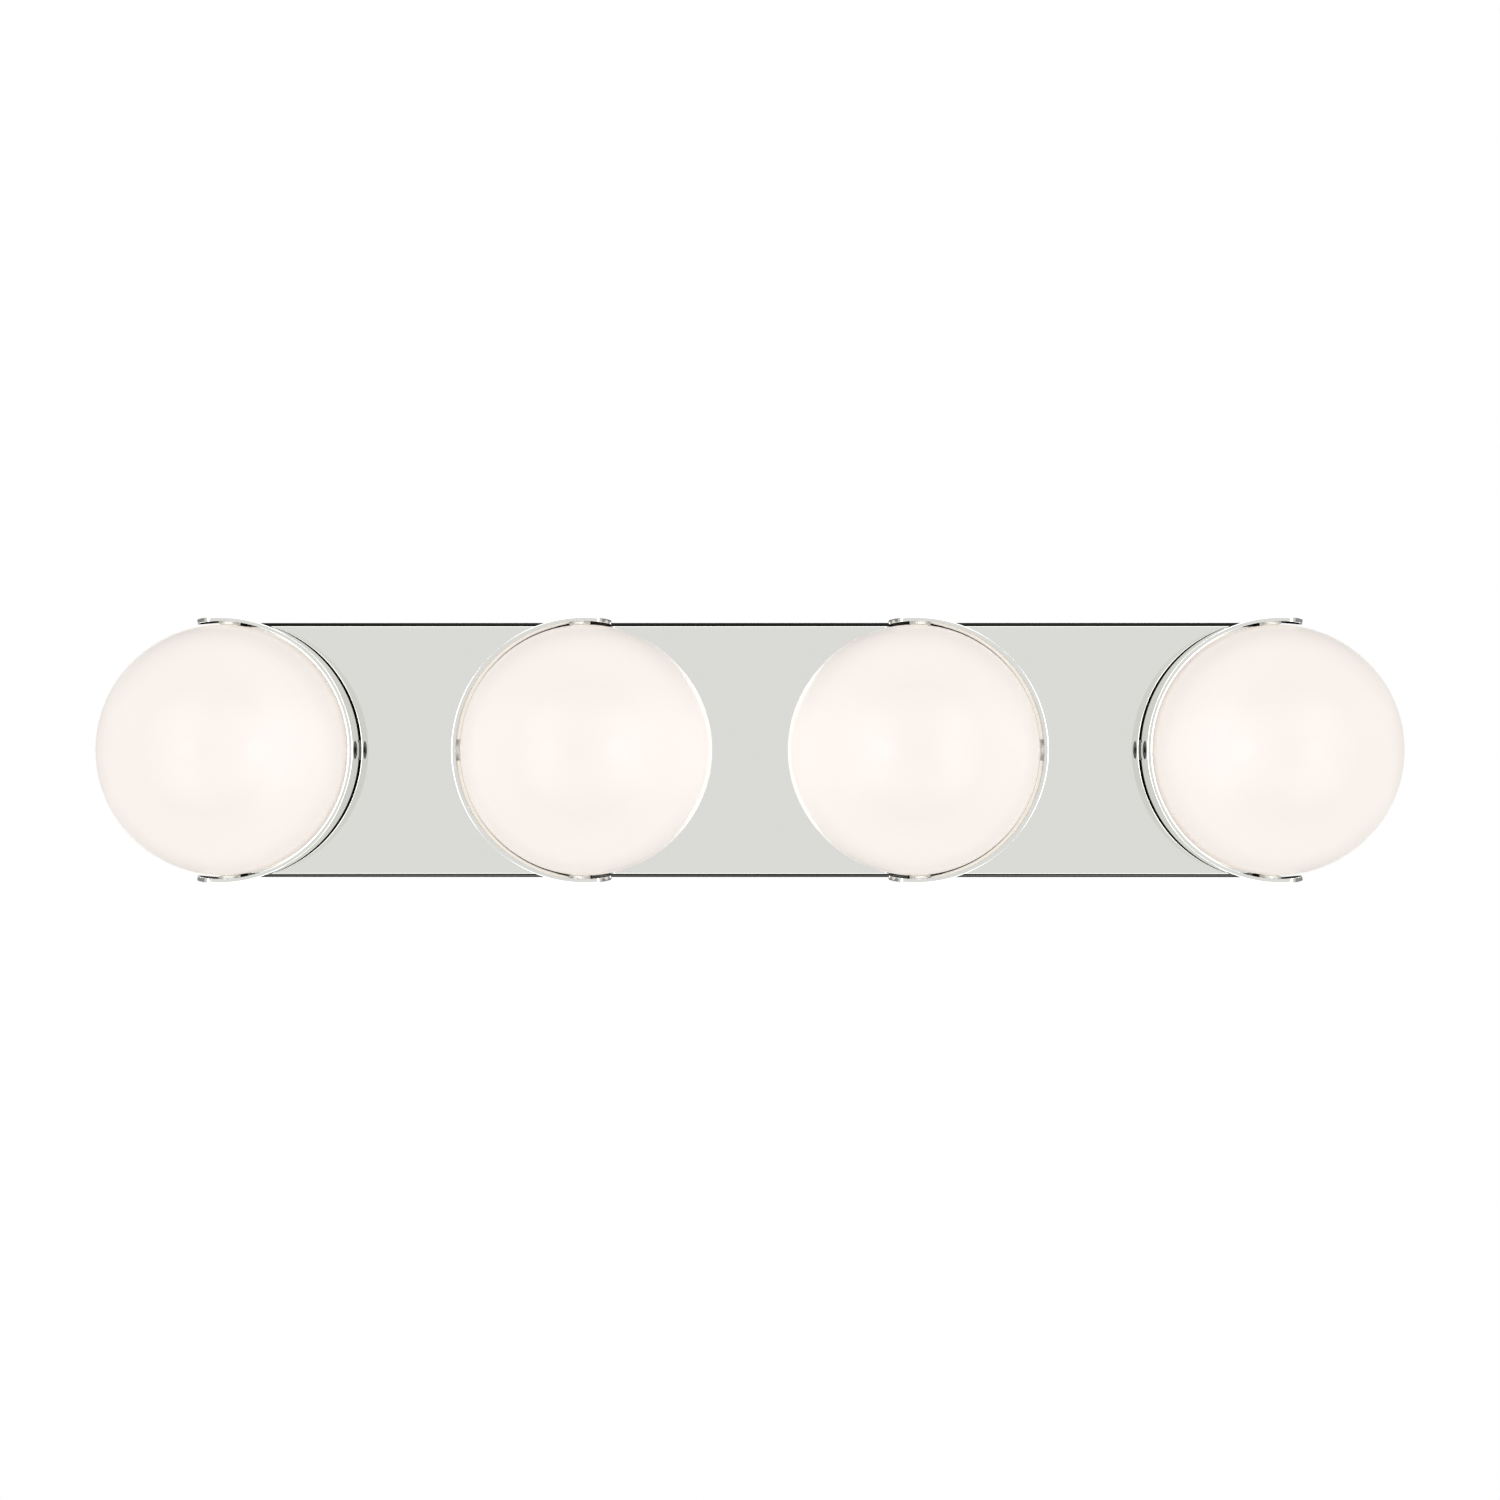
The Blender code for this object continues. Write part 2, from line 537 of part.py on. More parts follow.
def make_strap_screws(number, head, side):
    """Knurled screws, each with its threaded end flush in the strap and its collar against the glass."""
    nose = GLASS_RADIUS + 0.25 * MM
    collar_top = nose + KNURL_LENGTH
    end = STRAP_RADIUS - 0.25 * MM
    profile = ((0, end), (SCREW_END - 0.3 * MM, end), (SCREW_END, end - 0.3 * MM), (SCREW_END, collar_top),
               (KNURL_RADIUS, collar_top), (KNURL_RADIUS, nose), (0, nose))
    for hole, direction in screw_directions(side):
        matrix = facing(direction, (0, 0, STRAP_MIDDLE))
        turned(f"strap_screw_{number}_{hole}", profile, "blackened_steel", head, matrix, steps=16)


# --- the whole light ---------------------------------------------------------------------------
clear_scene()
PARTS = new_collection("vanity_light_bar")
CUTTERS = new_collection("cutters")
make_materials()
make_wall_bracket()
make_backplate()
make_side_screws()
make_ground_screw()
make_wires()
for head_number, (head_x, strap_side) in enumerate(zip(HEAD_X, STRAP_SIDE), 1):
    head_empty = make_head_empty(head_number, head_x)
    make_fitter(head_number, head_empty, strap_side)
    make_fitter_nut(head_number, head_empty)
    make_gasket(head_number, head_empty)
    make_lampholder(head_number, head_empty)
    make_lamp(head_number, head_empty)
    make_glass(head_number, head_empty)
    make_strap(head_number, head_empty, strap_side)
    make_strap_screws(head_number, head_empty, strap_side)
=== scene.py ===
# %% [markdown]
# # A vanity light bar in Blender
# The light is a polished nickel pan on a wall bracket. Four opal glass domes stand on it, each held in a
# C-shaped strap by three knurled screws. The frame below is the engineering model: it says where every
# piece is, and this script gives each piece its finished surface and its material. We start by loading
# the frame.

# %% load the frame
import math

import bmesh
import bpy
from mathutils import Matrix, Vector


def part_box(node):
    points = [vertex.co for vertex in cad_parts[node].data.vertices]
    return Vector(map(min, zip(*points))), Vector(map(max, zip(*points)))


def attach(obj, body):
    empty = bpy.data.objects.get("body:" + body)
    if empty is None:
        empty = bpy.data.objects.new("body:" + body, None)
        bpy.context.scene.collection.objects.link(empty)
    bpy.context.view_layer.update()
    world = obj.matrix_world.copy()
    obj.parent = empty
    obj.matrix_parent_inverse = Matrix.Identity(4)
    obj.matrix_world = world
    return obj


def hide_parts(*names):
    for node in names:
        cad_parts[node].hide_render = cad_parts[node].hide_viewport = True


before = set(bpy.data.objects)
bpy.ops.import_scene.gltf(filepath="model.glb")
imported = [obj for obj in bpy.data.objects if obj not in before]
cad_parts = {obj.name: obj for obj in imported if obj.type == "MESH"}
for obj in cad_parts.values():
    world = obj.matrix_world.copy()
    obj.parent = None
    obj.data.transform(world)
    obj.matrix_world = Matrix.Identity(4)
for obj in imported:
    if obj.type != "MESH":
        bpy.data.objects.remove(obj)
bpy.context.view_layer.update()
MM = 0.001

# %% [markdown]
# ## Sizes
# Each head's middle, the dome's radius and the strap's radius are read from the frame. What the frame's
# boxes can't say, such as a sheet's thickness, is named here. Distances out of the wall run along -Y, so
# "out" is minus y everywhere below.

# %% read the sizes
HEADS = (1, 2, 3, 4)


def box_of(node):
    low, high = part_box(node)
    return Vector(low), Vector(high)


def middle_of(node):
    low, high = box_of(node)
    return (low + high) / 2


glass_low, glass_high = box_of("glass_1")
strap_low, strap_high = box_of("strap_1")
pan_low, pan_high = box_of("backplate")
head_x = {head: middle_of(f"glass_{head}").x for head in HEADS}
strap_side = {head: 1 if middle_of(f"strap_{head}").x > head_x[head] else -1 for head in HEADS}
lamp_side = {head: 1 if head_x[head] < 0 else -1 for head in HEADS}

GLASS_RADIUS = (glass_high.x - glass_low.x) / 2
GLASS_FRONT = -glass_low.y
GLASS_RIM = -glass_high.y
GLASS_WALL = 3 * MM
STRAP_RADIUS = (strap_high.z - strap_low.z) / 2
STRAP_BACK = -strap_high.y
STRAP_FRONT = -strap_low.y
STRAP_MIDDLE = (STRAP_BACK + STRAP_FRONT) / 2
STRAP_SHEET = 1.9 * MM
PAN_FRONT = -pan_low.y
PAN_HALF_HEIGHT = pan_high.z
PAN_END = pan_high.x - PAN_HALF_HEIGHT
PAN_SHEET = 1.4 * MM
PAN_EDGE = 2.2 * MM
STEM_RADIUS = 5 * MM
SIDE_HOLE = 2.1 * MM
TOUCH = 0.3 * MM            # the clearance between pieces that touch
OVERLAP = 0.1 * MM          # how far welded or screwed parts of one piece reach into each other
CREASE = 30                 # degrees: a flatter edge than this is shaded smooth
CUT_EDGE = 1.2              # radians: an edge that turns more than this is a cut one
SIDE_SCREWS = [f"side_screw_{row}_{hand}" for row in ("top", "bottom") for hand in ("left", "right")]
print(f"dome {GLASS_RADIUS * 2000:.1f} mm across, strap {STRAP_RADIUS * 2000:.1f} mm across")

# %% [markdown]
# ## Helpers for pieces
# A bmesh is Blender's editable mesh. Each piece below starts from one of its primitive shapes, is worked
# with its operators, and is then turned into an object with its place in its vertices. Normals are
# recalculated on closed shapes, because a spin can turn a shape inside out.

# %% helpers
DOUBLED = 0.002 * MM        # vertices closer than this are one


def piece_from(bm, name, materials, body, replaces=None, crease=CREASE):
    """Make the finished object: smooth-shaded, riding on its body, standing for its frame node."""
    mesh = bpy.data.meshes.new(name)
    bm.to_mesh(mesh)
    bm.free()
    mesh.shade_smooth()
    mesh.set_sharp_from_angle(angle=math.radians(crease))
    for material in materials if isinstance(materials, tuple) else (materials,):
        mesh.materials.append(material)
    piece = bpy.data.objects.new(name, mesh)
    bpy.context.scene.collection.objects.link(piece)
    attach(piece, body)
    if replaces:
        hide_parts(replaces)
    print(f"{name}: {len(mesh.vertices)} vertices")
    return piece


def tidy(bm):
    """Merge the vertices that a spin or a join doubled, and point every face outwards."""
    bmesh.ops.remove_doubles(bm, verts=bm.verts, dist=DOUBLED)
    bmesh.ops.recalc_face_normals(bm, faces=bm.faces)


def out_of_wall(x=0.0, z=0.0, out=0.0):
    """A placement whose local Z points out of the wall and whose local Y points up."""
    return Matrix.Translation((x, -out, z)) @ Matrix.Rotation(math.pi / 2, 4, "X")


def facing(direction, point):
    """A placement at point whose local Z runs along direction."""
    return Matrix.Translation(point) @ Vector(direction).to_track_quat("Z", "Y").to_matrix().to_4x4()


def moved_verts(made):
    """The vertices in what an extrude returns."""
    return [item for item in made["geom"] if isinstance(item, bmesh.types.BMVert)]


def drill(piece, bm):
    """Take the shape in bm out of a piece with a Boolean, and apply it."""
    mesh = bpy.data.meshes.new("drill")
    bm.to_mesh(mesh)
    bm.free()
    cutter = bpy.data.objects.new("drill", mesh)
    bpy.context.scene.collection.objects.link(cutter)
    boolean = piece.modifiers.new("Drill", "BOOLEAN")
    boolean.object = cutter
    boolean.solver = "EXACT"
    graph = bpy.context.evaluated_depsgraph_get()
    drilled = bpy.data.meshes.new_from_object(piece.evaluated_get(graph))
    piece.modifiers.clear()
    piece.data = drilled
    bpy.data.objects.remove(cutter, do_unlink=True)
    piece.data.set_sharp_from_angle(angle=math.radians(CREASE))


def drill_round(piece, radius, length, place, steps=48):
    """Drill a round hole along a placement's local Z."""
    bm = bmesh.new()
    bmesh.ops.create_cone(bm, cap_ends=True, segments=steps, radius1=radius, radius2=radius, depth=length)
    bmesh.ops.transform(bm, matrix=place, verts=bm.verts)
    drill(piece, bm)


def add_block(bm, size, place, bevel=0.0, material=0):
    """Add a box, with fine bevelled edges if asked, to a bmesh."""
    verts = bmesh.ops.create_cube(bm, size=1)["verts"]
    bmesh.ops.scale(bm, vec=size, verts=verts)
    if bevel:
        edges = list({edge for vert in verts for edge in vert.link_edges})
        made = bmesh.ops.bevel(bm, geom=edges, offset=bevel, segments=2, affect="EDGES", profile=0.5,
                               material=-1)
        verts = made["verts"]
    bmesh.ops.transform(bm, matrix=place, verts=verts)
    for face in {face for vert in verts for face in vert.link_faces}:
        face.material_index = material


def turned(bm, profile, steps=64, rounding=0.0, segments=2, place=Matrix(), material=0):
    """Spin (radius, height) pairs round local Z, after rounding the profile's corners."""
    old_verts, old_faces = set(bm.verts), set(bm.faces)
    points = [bm.verts.new((radius, 0, height)) for radius, height in profile]
    closed = profile[0][0] > 0 or profile[-1][0] > 0
    edges = [bm.edges.new(pair) for pair in zip(points, points[1:])]
    if closed:
        edges.append(bm.edges.new((points[-1], points[0])))
    if rounding:
        corners = [vert for vert in points if vert.co.x > 0.0001]
        made = bmesh.ops.bevel(bm, geom=corners, offset=rounding, segments=segments, affect="VERTICES",
                               profile=0.5, material=-1)
        points = [vert for vert in points if vert.is_valid] + made["verts"]
    outline = list(dict.fromkeys(points))
    edges = list(dict.fromkeys(edge for vert in outline for edge in vert.link_edges))
    bmesh.ops.spin(bm, geom=outline + edges, cent=(0, 0, 0), axis=(0, 0, 1), angle=math.tau,
                   steps=steps, use_merge=True, use_duplicate=False)
    bmesh.ops.transform(bm, matrix=place, verts=[vert for vert in bm.verts if vert not in old_verts])
    tidy(bm)
    for face in bm.faces:
        if face not in old_faces:
            face.material_index = material


# %% [markdown]
# ## Helpers for materials
# Colours are written as the sRGB hex values a paint chart would give, and one function turns them into
# the linear values that the shaders work in. One more function adds a node, sets its values and joins
# its inputs.

# %% material helpers
def linear(hex_colour):
    """An sRGB hex colour as linear RGBA."""
    channels = [int(hex_colour[start:start + 2], 16) / 255 for start in (1, 3, 5)]
    return tuple(c / 12.92 if c <= 0.04045 else ((c + 0.055) / 1.055) ** 2.4 for c in channels) + (1.0,)


def new_material(name, colour, roughness, metallic=0.0, **sockets):
    """A Principled material; further sockets are given by name with underscores for spaces."""
    material = bpy.data.materials.new(name)
    material.use_nodes = True
    shader = material.node_tree.nodes["Principled BSDF"]
    shader.inputs["Base Color"].default_value = linear(colour)
    shader.inputs["Roughness"].default_value = roughness
    shader.inputs["Metallic"].default_value = metallic
    for socket, value in sockets.items():
        shader.inputs[socket.replace("_", " ")].default_value = value
    return material, shader


def add_node(owner, kind, inputs=None, **settings):
    """Add a node: inputs are its sockets' values or what feeds them, settings are its properties."""
    node = owner.node_tree.nodes.new(kind)
    for setting, value in settings.items():
        setattr(node, setting, value)
    for socket, value in (inputs or {}).items():
        if isinstance(value, bpy.types.NodeSocket):
            owner.node_tree.links.new(value, node.inputs[socket])
        else:
            node.inputs[socket].default_value = value
    return node


def set_ramp(node, stops):
    """Give a colour ramp its stops: (position, sRGB hex) pairs."""
    ramp = node.color_ramp
    while len(ramp.elements) > 1:
        ramp.elements.remove(ramp.elements[-1])
    ramp.elements[0].position, ramp.elements[0].color = stops[0][0], linear(stops[0][1])
    for position, colour in stops[1:]:
        ramp.elements.new(position).color = linear(colour)


def object_noise(material, size, detail=3.0, stretch=(1, 1, 1)):
    """A noise on Object coordinates whose grains are about size metres across."""
    place = add_node(material, "ShaderNodeTexCoord")
    mapping = add_node(material, "ShaderNodeMapping", {"Vector": place.outputs["Object"], "Scale": stretch})
    return add_node(material, "ShaderNodeTexNoise",
                    {"Vector": mapping.outputs["Vector"], "Scale": 1 / size, "Detail": detail})


def vary_roughness(material, shader, size, low, high, stretch=(1, 1, 1)):
    """Let the roughness wander between two values, as handling and polishing leave it."""
    noise = object_noise(material, size, stretch=stretch)
    spread = add_node(material, "ShaderNodeMapRange",
                      {"Value": noise.outputs["Fac"], "From Min": 0.3, "From Max": 0.7,
                       "To Min": low, "To Max": high})
    material.node_tree.links.new(spread.outputs["Result"], shader.inputs["Roughness"])


def add_bump(material, shader, size, height, detail=3.0, stretch=(1, 1, 1), strength=1.0):
    """Raise a fine noise of the given grain size and height, both in metres."""
    noise = object_noise(material, size, detail, stretch)
    bump = add_node(material, "ShaderNodeBump",
                    {"Height": noise.outputs["Fac"], "Distance": height, "Strength": strength})
    material.node_tree.links.new(bump.outputs["Normal"], shader.inputs["Normal"])


# %% [markdown]
# ## Polished nickel
# The pan and the straps are brass or steel, buffed to a mirror and nickel plated. Nickel is a warm grey
# metal, so it is fully metallic with a slightly yellow reflection. A buffed plate is never quite even:
# the roughness wanders a little over a few centimetres, and the fine lines left by the mop run along the
# bar. Real mop lines are too fine to show, so these are drawn about 0.6 mm apart and very shallow.

# %% polished nickel
def make_polished_nickel():
    material, shader = new_material("polished_nickel", "#E9E9E5", 0.05, 1.0)
    vary_roughness(material, shader, 35 * MM, 0.035, 0.075)
    add_bump(material, shader, 0.6 * MM, 0.0006 * MM, 2.0, stretch=(0.05, 1, 1), strength=0.25)
    return material


def make_satin_nickel():
    """Nickel over a cut knurl, which can't be buffed: it scatters the light and looks evenly pale."""
    material, shader = new_material("satin_nickel", "#EDEDE9", 0.5, 1.0)
    vary_roughness(material, shader, 2 * MM, 0.45, 0.60)
    return material


polished_nickel = make_polished_nickel()
satin_nickel = make_satin_nickel()

# %% [markdown]
# ## Etched opal glass
# Opal glass is white all through, and acid etching leaves its outside satin. Lit from behind it glows
# almost evenly, and that glow is painted light here, laid on as emission: a faint warm pink, greyer towards
# its edge where the wall is seen at a slant, and whiter in the rim, a painted highlight over the band
# inside the strap, where the strap's shade falls.
# The lamp's two ends are painted on as soft spots of light, the nearer one with a wide halo. Two UV maps
# hold the place across the dome in radii, one from its middle and one from its lamp, so one material serves
# all four domes.
# The room's light on the satin skin is the rest. That light fades towards the edge, so the painted emission
# rises.

# %% etched opal glass
# the dome's emission is painted light: a glow for the lamp behind it, brighter towards the edge where the
# room's light fades
ACROSS_GLOW = ((0.0, "#7A7572"), (0.50, "#888280"), (0.90, "#A7A19E"), (1.0, "#AEA9A5"))   # middle to edge
# the rim's white is painted light: it lifts the glass inside the strap, where the strap's shade falls
PAINTED_RIM_LIGHT = "#F6EFEB"                    # the rim, behind the dome's widest ring
RIM_START = -STRAP_MIDDLE + 1.5 * MM    # the y where the rim's glow begins, and where it is full
RIM_FULL = -STRAP_MIDDLE + 5 * MM
SPOT_GLOW = (0.67, 0.65, 0.61, 1.0)
SPOTS = ((0.26, 0.16, 0.06), (0.26, 0.55, 0.03), (-0.26, 0.14, 0.03))     # place, reach, strength


def make_opal_glass():
    material, shader = new_material("etched_opal_glass", "#CDC7C2", 0.42, 0.0, Coat_Weight=0.12,
                                    Coat_Roughness=0.30)
    uv = add_node(material, "ShaderNodeUVMap", uv_map="dome")
    reach = add_node(material, "ShaderNodeVectorMath", {0: uv.outputs["UV"]}, operation="LENGTH")
    glow = add_node(material, "ShaderNodeValToRGB", {"Fac": reach.outputs["Value"]})
    set_ramp(glow, ACROSS_GLOW)
    lit = glow.outputs["Color"]
    lamp = add_node(material, "ShaderNodeUVMap", uv_map="lamp")
    for across, size, strength in SPOTS:
        shift = add_node(material, "ShaderNodeVectorMath", {0: lamp.outputs["UV"], 1: (across, 0.0, 0.0)},
                         operation="SUBTRACT")
        distance = add_node(material, "ShaderNodeVectorMath", {0: shift.outputs["Vector"]},
                            operation="LENGTH")
        spot = add_node(material, "ShaderNodeMapRange",
                        {"Value": distance.outputs["Value"], "From Min": 0.0, "From Max": size,
                         "To Min": strength, "To Max": 0.0}, interpolation_type="SMOOTHERSTEP")
        # on a colour Mix node, sockets 6 and 7 are the two colours and output 2 is the result
        mix = add_node(material, "ShaderNodeMix", data_type="RGBA",
                       inputs={0: spot.outputs["Result"], 6: lit, 7: SPOT_GLOW})
        lit = mix.outputs[2]
    place = add_node(material, "ShaderNodeTexCoord")
    parts = add_node(material, "ShaderNodeSeparateXYZ", {"Vector": place.outputs["Object"]})
    # the rim's mask: painted light over the glass behind the widest ring, inside the strap's shade
    rim = add_node(material, "ShaderNodeMapRange",
                   {"Value": parts.outputs["Y"], "From Min": RIM_START, "From Max": RIM_FULL,
                    "To Min": 0.0, "To Max": 1.0})
    glowing = add_node(material, "ShaderNodeMix", data_type="RGBA",
                       inputs={0: rim.outputs["Result"], 6: lit, 7: linear(PAINTED_RIM_LIGHT)})
    material.node_tree.links.new(glowing.outputs[2], shader.inputs["Emission Color"])
    shader.inputs["Emission Strength"].default_value = 1.0
    add_bump(material, shader, 0.5 * MM, 0.004 * MM, 2.0, strength=0.3)
    return material


opal_glass = make_opal_glass()

# %% [markdown]
# ## The other finishes
# The bracket and the nuts are zinc-plated steel, a blue-grey metal with faint spangles. The knurled screws
# are blackened, the lampholders are glazed porcelain, the lamps are frosted capsules, the gaskets are
# milky silicone, and the wires have satin plastic insulation. Each has the small unevenness its making
# leaves: waves in a glaze, a drawn wire's lines, a moulded cap's fine grain. The backs of the straps and
# the ears behind them are painted near black, as painted shade for the dark gap between the straps and the
# pan.

# %% the other finishes
SPANGLES = 250.0            # zinc's spangles in a metre


def make_zinc():
    material, shader = new_material("zinc_plated_steel", "#A9AEB0", 0.36, 1.0)
    place = add_node(material, "ShaderNodeTexCoord")
    spangle = add_node(material, "ShaderNodeTexVoronoi",
                       {"Vector": place.outputs["Object"], "Scale": SPANGLES})
    tint = add_node(material, "ShaderNodeValToRGB", {"Fac": spangle.outputs["Distance"]})
    set_ramp(tint, ((0.0, "#B4B9BB"), (0.5, "#A6ABAD"), (1.0, "#9AA0A3")))
    material.node_tree.links.new(tint.outputs["Color"], shader.inputs["Base Color"])
    vary_roughness(material, shader, 4 * MM, 0.28, 0.42)
    return material


def make_blackened_steel():
    material, shader = new_material("blackened_steel", "#0B0B0C", 0.55, 0.0, Specular_IOR_Level=0.2)
    vary_roughness(material, shader, 2 * MM, 0.45, 0.62)
    return material


# painted shade: a near-black metal for the straps' back edges and the ears, standing in for the shadow in
# the gap between strap and pan
def make_painted_shade_edge():
    material, shader = new_material("painted_shade_edge", "#1C1C1B", 0.45, 1.0)
    vary_roughness(material, shader, 1 * MM, 0.38, 0.52)
    return material


def make_porcelain():
    material, shader = new_material("porcelain", "#ECEAE2", 0.18, 0.0, Coat_Weight=0.6,
                                    Coat_Roughness=0.06)
    add_bump(material, shader, 2.5 * MM, 0.03 * MM, 1.0, strength=0.35)
    return material


def make_lamp_glass():
    material, shader = new_material("frosted_lamp_glass", "#F4EFE2", 0.35, 0.0, Emission_Strength=0.55,
                                    Emission_Color=linear("#FFF0D8"))
    vary_roughness(material, shader, 1.5 * MM, 0.28, 0.42)
    return material


def make_silicone():
    material, shader = new_material("silicone_rubber", "#DAD9D4", 0.60, 0.0, Subsurface_Weight=0.1)
    add_bump(material, shader, 0.8 * MM, 0.02 * MM, strength=0.5)
    return material


def make_moulded(name, colour, roughness=0.45):
    material, shader = new_material(name, colour, roughness)
    vary_roughness(material, shader, 3 * MM, roughness - 0.07, roughness + 0.07)
    add_bump(material, shader, 0.6 * MM, 0.012 * MM, strength=0.5)
    return material


def make_drawn_copper():
    material, shader = new_material("bare_copper", "#C98561", 0.30, 1.0)
    vary_roughness(material, shader, 1 * MM, 0.22, 0.38, stretch=(0.1, 1, 1))
    return material


zinc = make_zinc()
blackened_steel = make_blackened_steel()
painted_shade_edge = make_painted_shade_edge()
porcelain = make_porcelain()
lamp_glass = make_lamp_glass()
silicone = make_silicone()
black_insulation = make_moulded("black_insulation", "#1E1E1F")
white_insulation = make_moulded("white_insulation", "#E6E5E0")
orange_nylon = make_moulded("orange_nylon", "#E0701F", 0.50)
green_nylon = make_moulded("green_nylon", "#2F7A3C", 0.50)
green_lacquer = make_moulded("green_lacquer", "#1F6B35", 0.30)
bare_copper = make_drawn_copper()
print("materials:", len(bpy.data.materials))

# %% [markdown]
# ## The camera and the light
# The light bar hangs at eye level and is seen square on, so the camera stands on the bar's axis and looks
# straight back at the wall. Mirror-like metal shows what stands in front of it, so the room matters more
# than the lamps: a broad pale card faces the bar with a brighter strip along each of its sides, and past
# those the room falls off to dark, which is what draws the thin black lines along the metal's edges.
# The world's colour is worked out from the direction alone: one ramp goes round from the front to the
# back, the other climbs from the floor to the ceiling. To the camera the background is plain white.

# %% camera
CAMERA_DISTANCE = 0.95      # metres from the pan's face
SENSOR_WIDTH = 36           # millimetres, and so is the lens
LENS = 45.6
camera_data = bpy.data.cameras.new("camera")
camera_data.sensor_width = SENSOR_WIDTH
camera_data.lens = LENS
camera = bpy.data.objects.new("camera", camera_data)
camera.location = (0, -(PAN_FRONT + CAMERA_DISTANCE), 0)
camera.rotation_euler = (math.pi / 2, 0, 0)
bpy.context.scene.collection.objects.link(camera)
bpy.context.scene.camera = camera

# %% the room as seen by the metal
# Stops of place and brightness. AROUND runs from straight in front to straight behind, and CLIMB from
# straight below to straight above.
AROUND = ((0.0, 0.86), (0.106, 0.86), (0.122, 4.0), (0.167, 4.0), (0.19, 0.7), (0.28, 0.7), (0.33, 0.3),
          (0.78, 0.3), (0.84, 0.9), (1.0, 0.9))
CLIMB = ((0.0, 0.10), (0.17, 0.09), (0.25, 0.06), (0.33, 0.025), (0.378, 0.01), (0.39, 2.6), (0.415, 2.6),
         (0.425, 1.0), (0.575, 1.0), (0.585, 2.6), (0.61, 2.6), (0.623, 0.008), (0.80, 0.01), (1.0, 0.03))


def set_grey_ramp(node, stops):
    """Give a colour ramp plain brightnesses: (position, value) pairs."""
    ramp = node.color_ramp
    ramp.elements.remove(ramp.elements[-1])
    for number, (position, value) in enumerate(stops):
        stop = ramp.elements[0] if number == 0 else ramp.elements.new(position)
        stop.position = position
        stop.color = (value, value, value, 1)


def make_room():
    world = bpy.data.worlds.new("studio")
    bpy.context.scene.world = world
    world.use_nodes = True
    world.node_tree.nodes.clear()
    way = add_node(world, "ShaderNodeTexCoord")
    parts = add_node(world, "ShaderNodeSeparateXYZ", {"Vector": way.outputs["Generated"]})
    ahead = add_node(world, "ShaderNodeMath", {0: parts.outputs["Y"], 1: -1.0}, operation="MULTIPLY")
    aside = add_node(world, "ShaderNodeMath", {0: parts.outputs["X"]}, operation="ABSOLUTE")
    turn = add_node(world, "ShaderNodeMath", {0: aside.outputs[0], 1: ahead.outputs[0]},
                    operation="ARCTAN2")
    half_turn = add_node(world, "ShaderNodeMath", {0: turn.outputs[0], 1: math.pi}, operation="DIVIDE")
    around = add_node(world, "ShaderNodeValToRGB", {"Fac": half_turn.outputs[0]})
    set_grey_ramp(around, AROUND)
    angle = add_node(world, "ShaderNodeMath", {0: parts.outputs["Z"]}, operation="ARCSINE")
    share = add_node(world, "ShaderNodeMapRange", {"Value": angle.outputs[0], "From Min": -math.pi / 2,
                                                   "From Max": math.pi / 2})
    climb = add_node(world, "ShaderNodeValToRGB", {"Fac": share.outputs["Result"]})
    set_grey_ramp(climb, CLIMB)
    room = add_node(world, "ShaderNodeMix", {0: 1.0, 6: around.outputs["Color"], 7: climb.outputs["Color"]},
                    data_type="RGBA", blend_type="MULTIPLY")
    seen = add_node(world, "ShaderNodeLightPath")
    view = add_node(world, "ShaderNodeMix", {0: seen.outputs["Is Camera Ray"], 6: room.outputs[2],
                                             7: (1, 1, 1, 1)}, data_type="RGBA")
    shine = add_node(world, "ShaderNodeBackground", {"Color": view.outputs[2]})
    add_node(world, "ShaderNodeOutputWorld", {"Surface": shine.outputs["Background"]})


make_room()
bpy.context.scene.view_settings.view_transform = "Standard"

# %% soft lights and the floor
FLOOR_MIDDLE = (0, -0.65, -0.62)
SOFTBOXES = {                              # place, size, watts
    "overhead": ((0, -0.5, 1.6), (1.8, 1.2), 8),
    "left_fill": ((-1.6, -0.9, 0.5), (1.0, 1.4), 4),
    "right_fill": ((1.6, -0.9, 0.5), (1.0, 1.4), 4),
    "back_fill": ((0, 1.8, 0.6), (1.8, 1.2), 8),
    "low_fill": ((0, -1.1, -0.52), (1.8, 0.3), 2)}


def add_softbox(name, place, size, watts):
    """An area light aimed at the bar. It lights surfaces but isn't itself mirrored in the metal."""
    data = bpy.data.lights.new(name, "AREA")
    data.shape = "RECTANGLE"
    data.size, data.size_y = size
    data.energy = watts
    light = bpy.data.objects.new(name, data)
    light.location = place
    light.rotation_euler = (-Vector(place)).to_track_quat("-Z", "Y").to_euler()
    light.visible_glossy = False
    bpy.context.scene.collection.objects.link(light)


def add_floor():
    """A pale sheet under the bar, out of the camera's view, that throws soft light up on it."""
    bm = bmesh.new()
    bmesh.ops.create_grid(bm, x_segments=1, y_segments=1, size=1.0)
    bmesh.ops.translate(bm, vec=FLOOR_MIDDLE, verts=bm.verts)
    mesh = bpy.data.meshes.new("floor")
    bm.to_mesh(mesh)
    bm.free()
    mesh.materials.append(new_material("pale_floor", "#F2F2F0", 0.7, Emission_Color=(1, 1, 1, 1),
                                       Emission_Strength=0.15)[0])
    floor = bpy.data.objects.new("floor", mesh)
    floor.visible_glossy = False
    bpy.context.scene.collection.objects.link(floor)


for name, (place, size, watts) in SOFTBOXES.items():
    add_softbox(name, place, size, watts)
add_floor()

# %% [markdown]
# ## The pan
# The real pan is pressed from one sheet: a flat face, a small rounded edge and a wall turned back to the
# bracket. Here a circle is pulled apart into the outline with two round ends, extruded back to make the
# wall, and its front edge is bevelled. A thin inset ring keeps the face's shading flat right up to the
# bevel, or a mirror-like face would look dished. The sheet is then given its thickness.

# %% the pan
PAN_STEPS = 126             # round both ends together
FACE_RING = 0.4 * MM


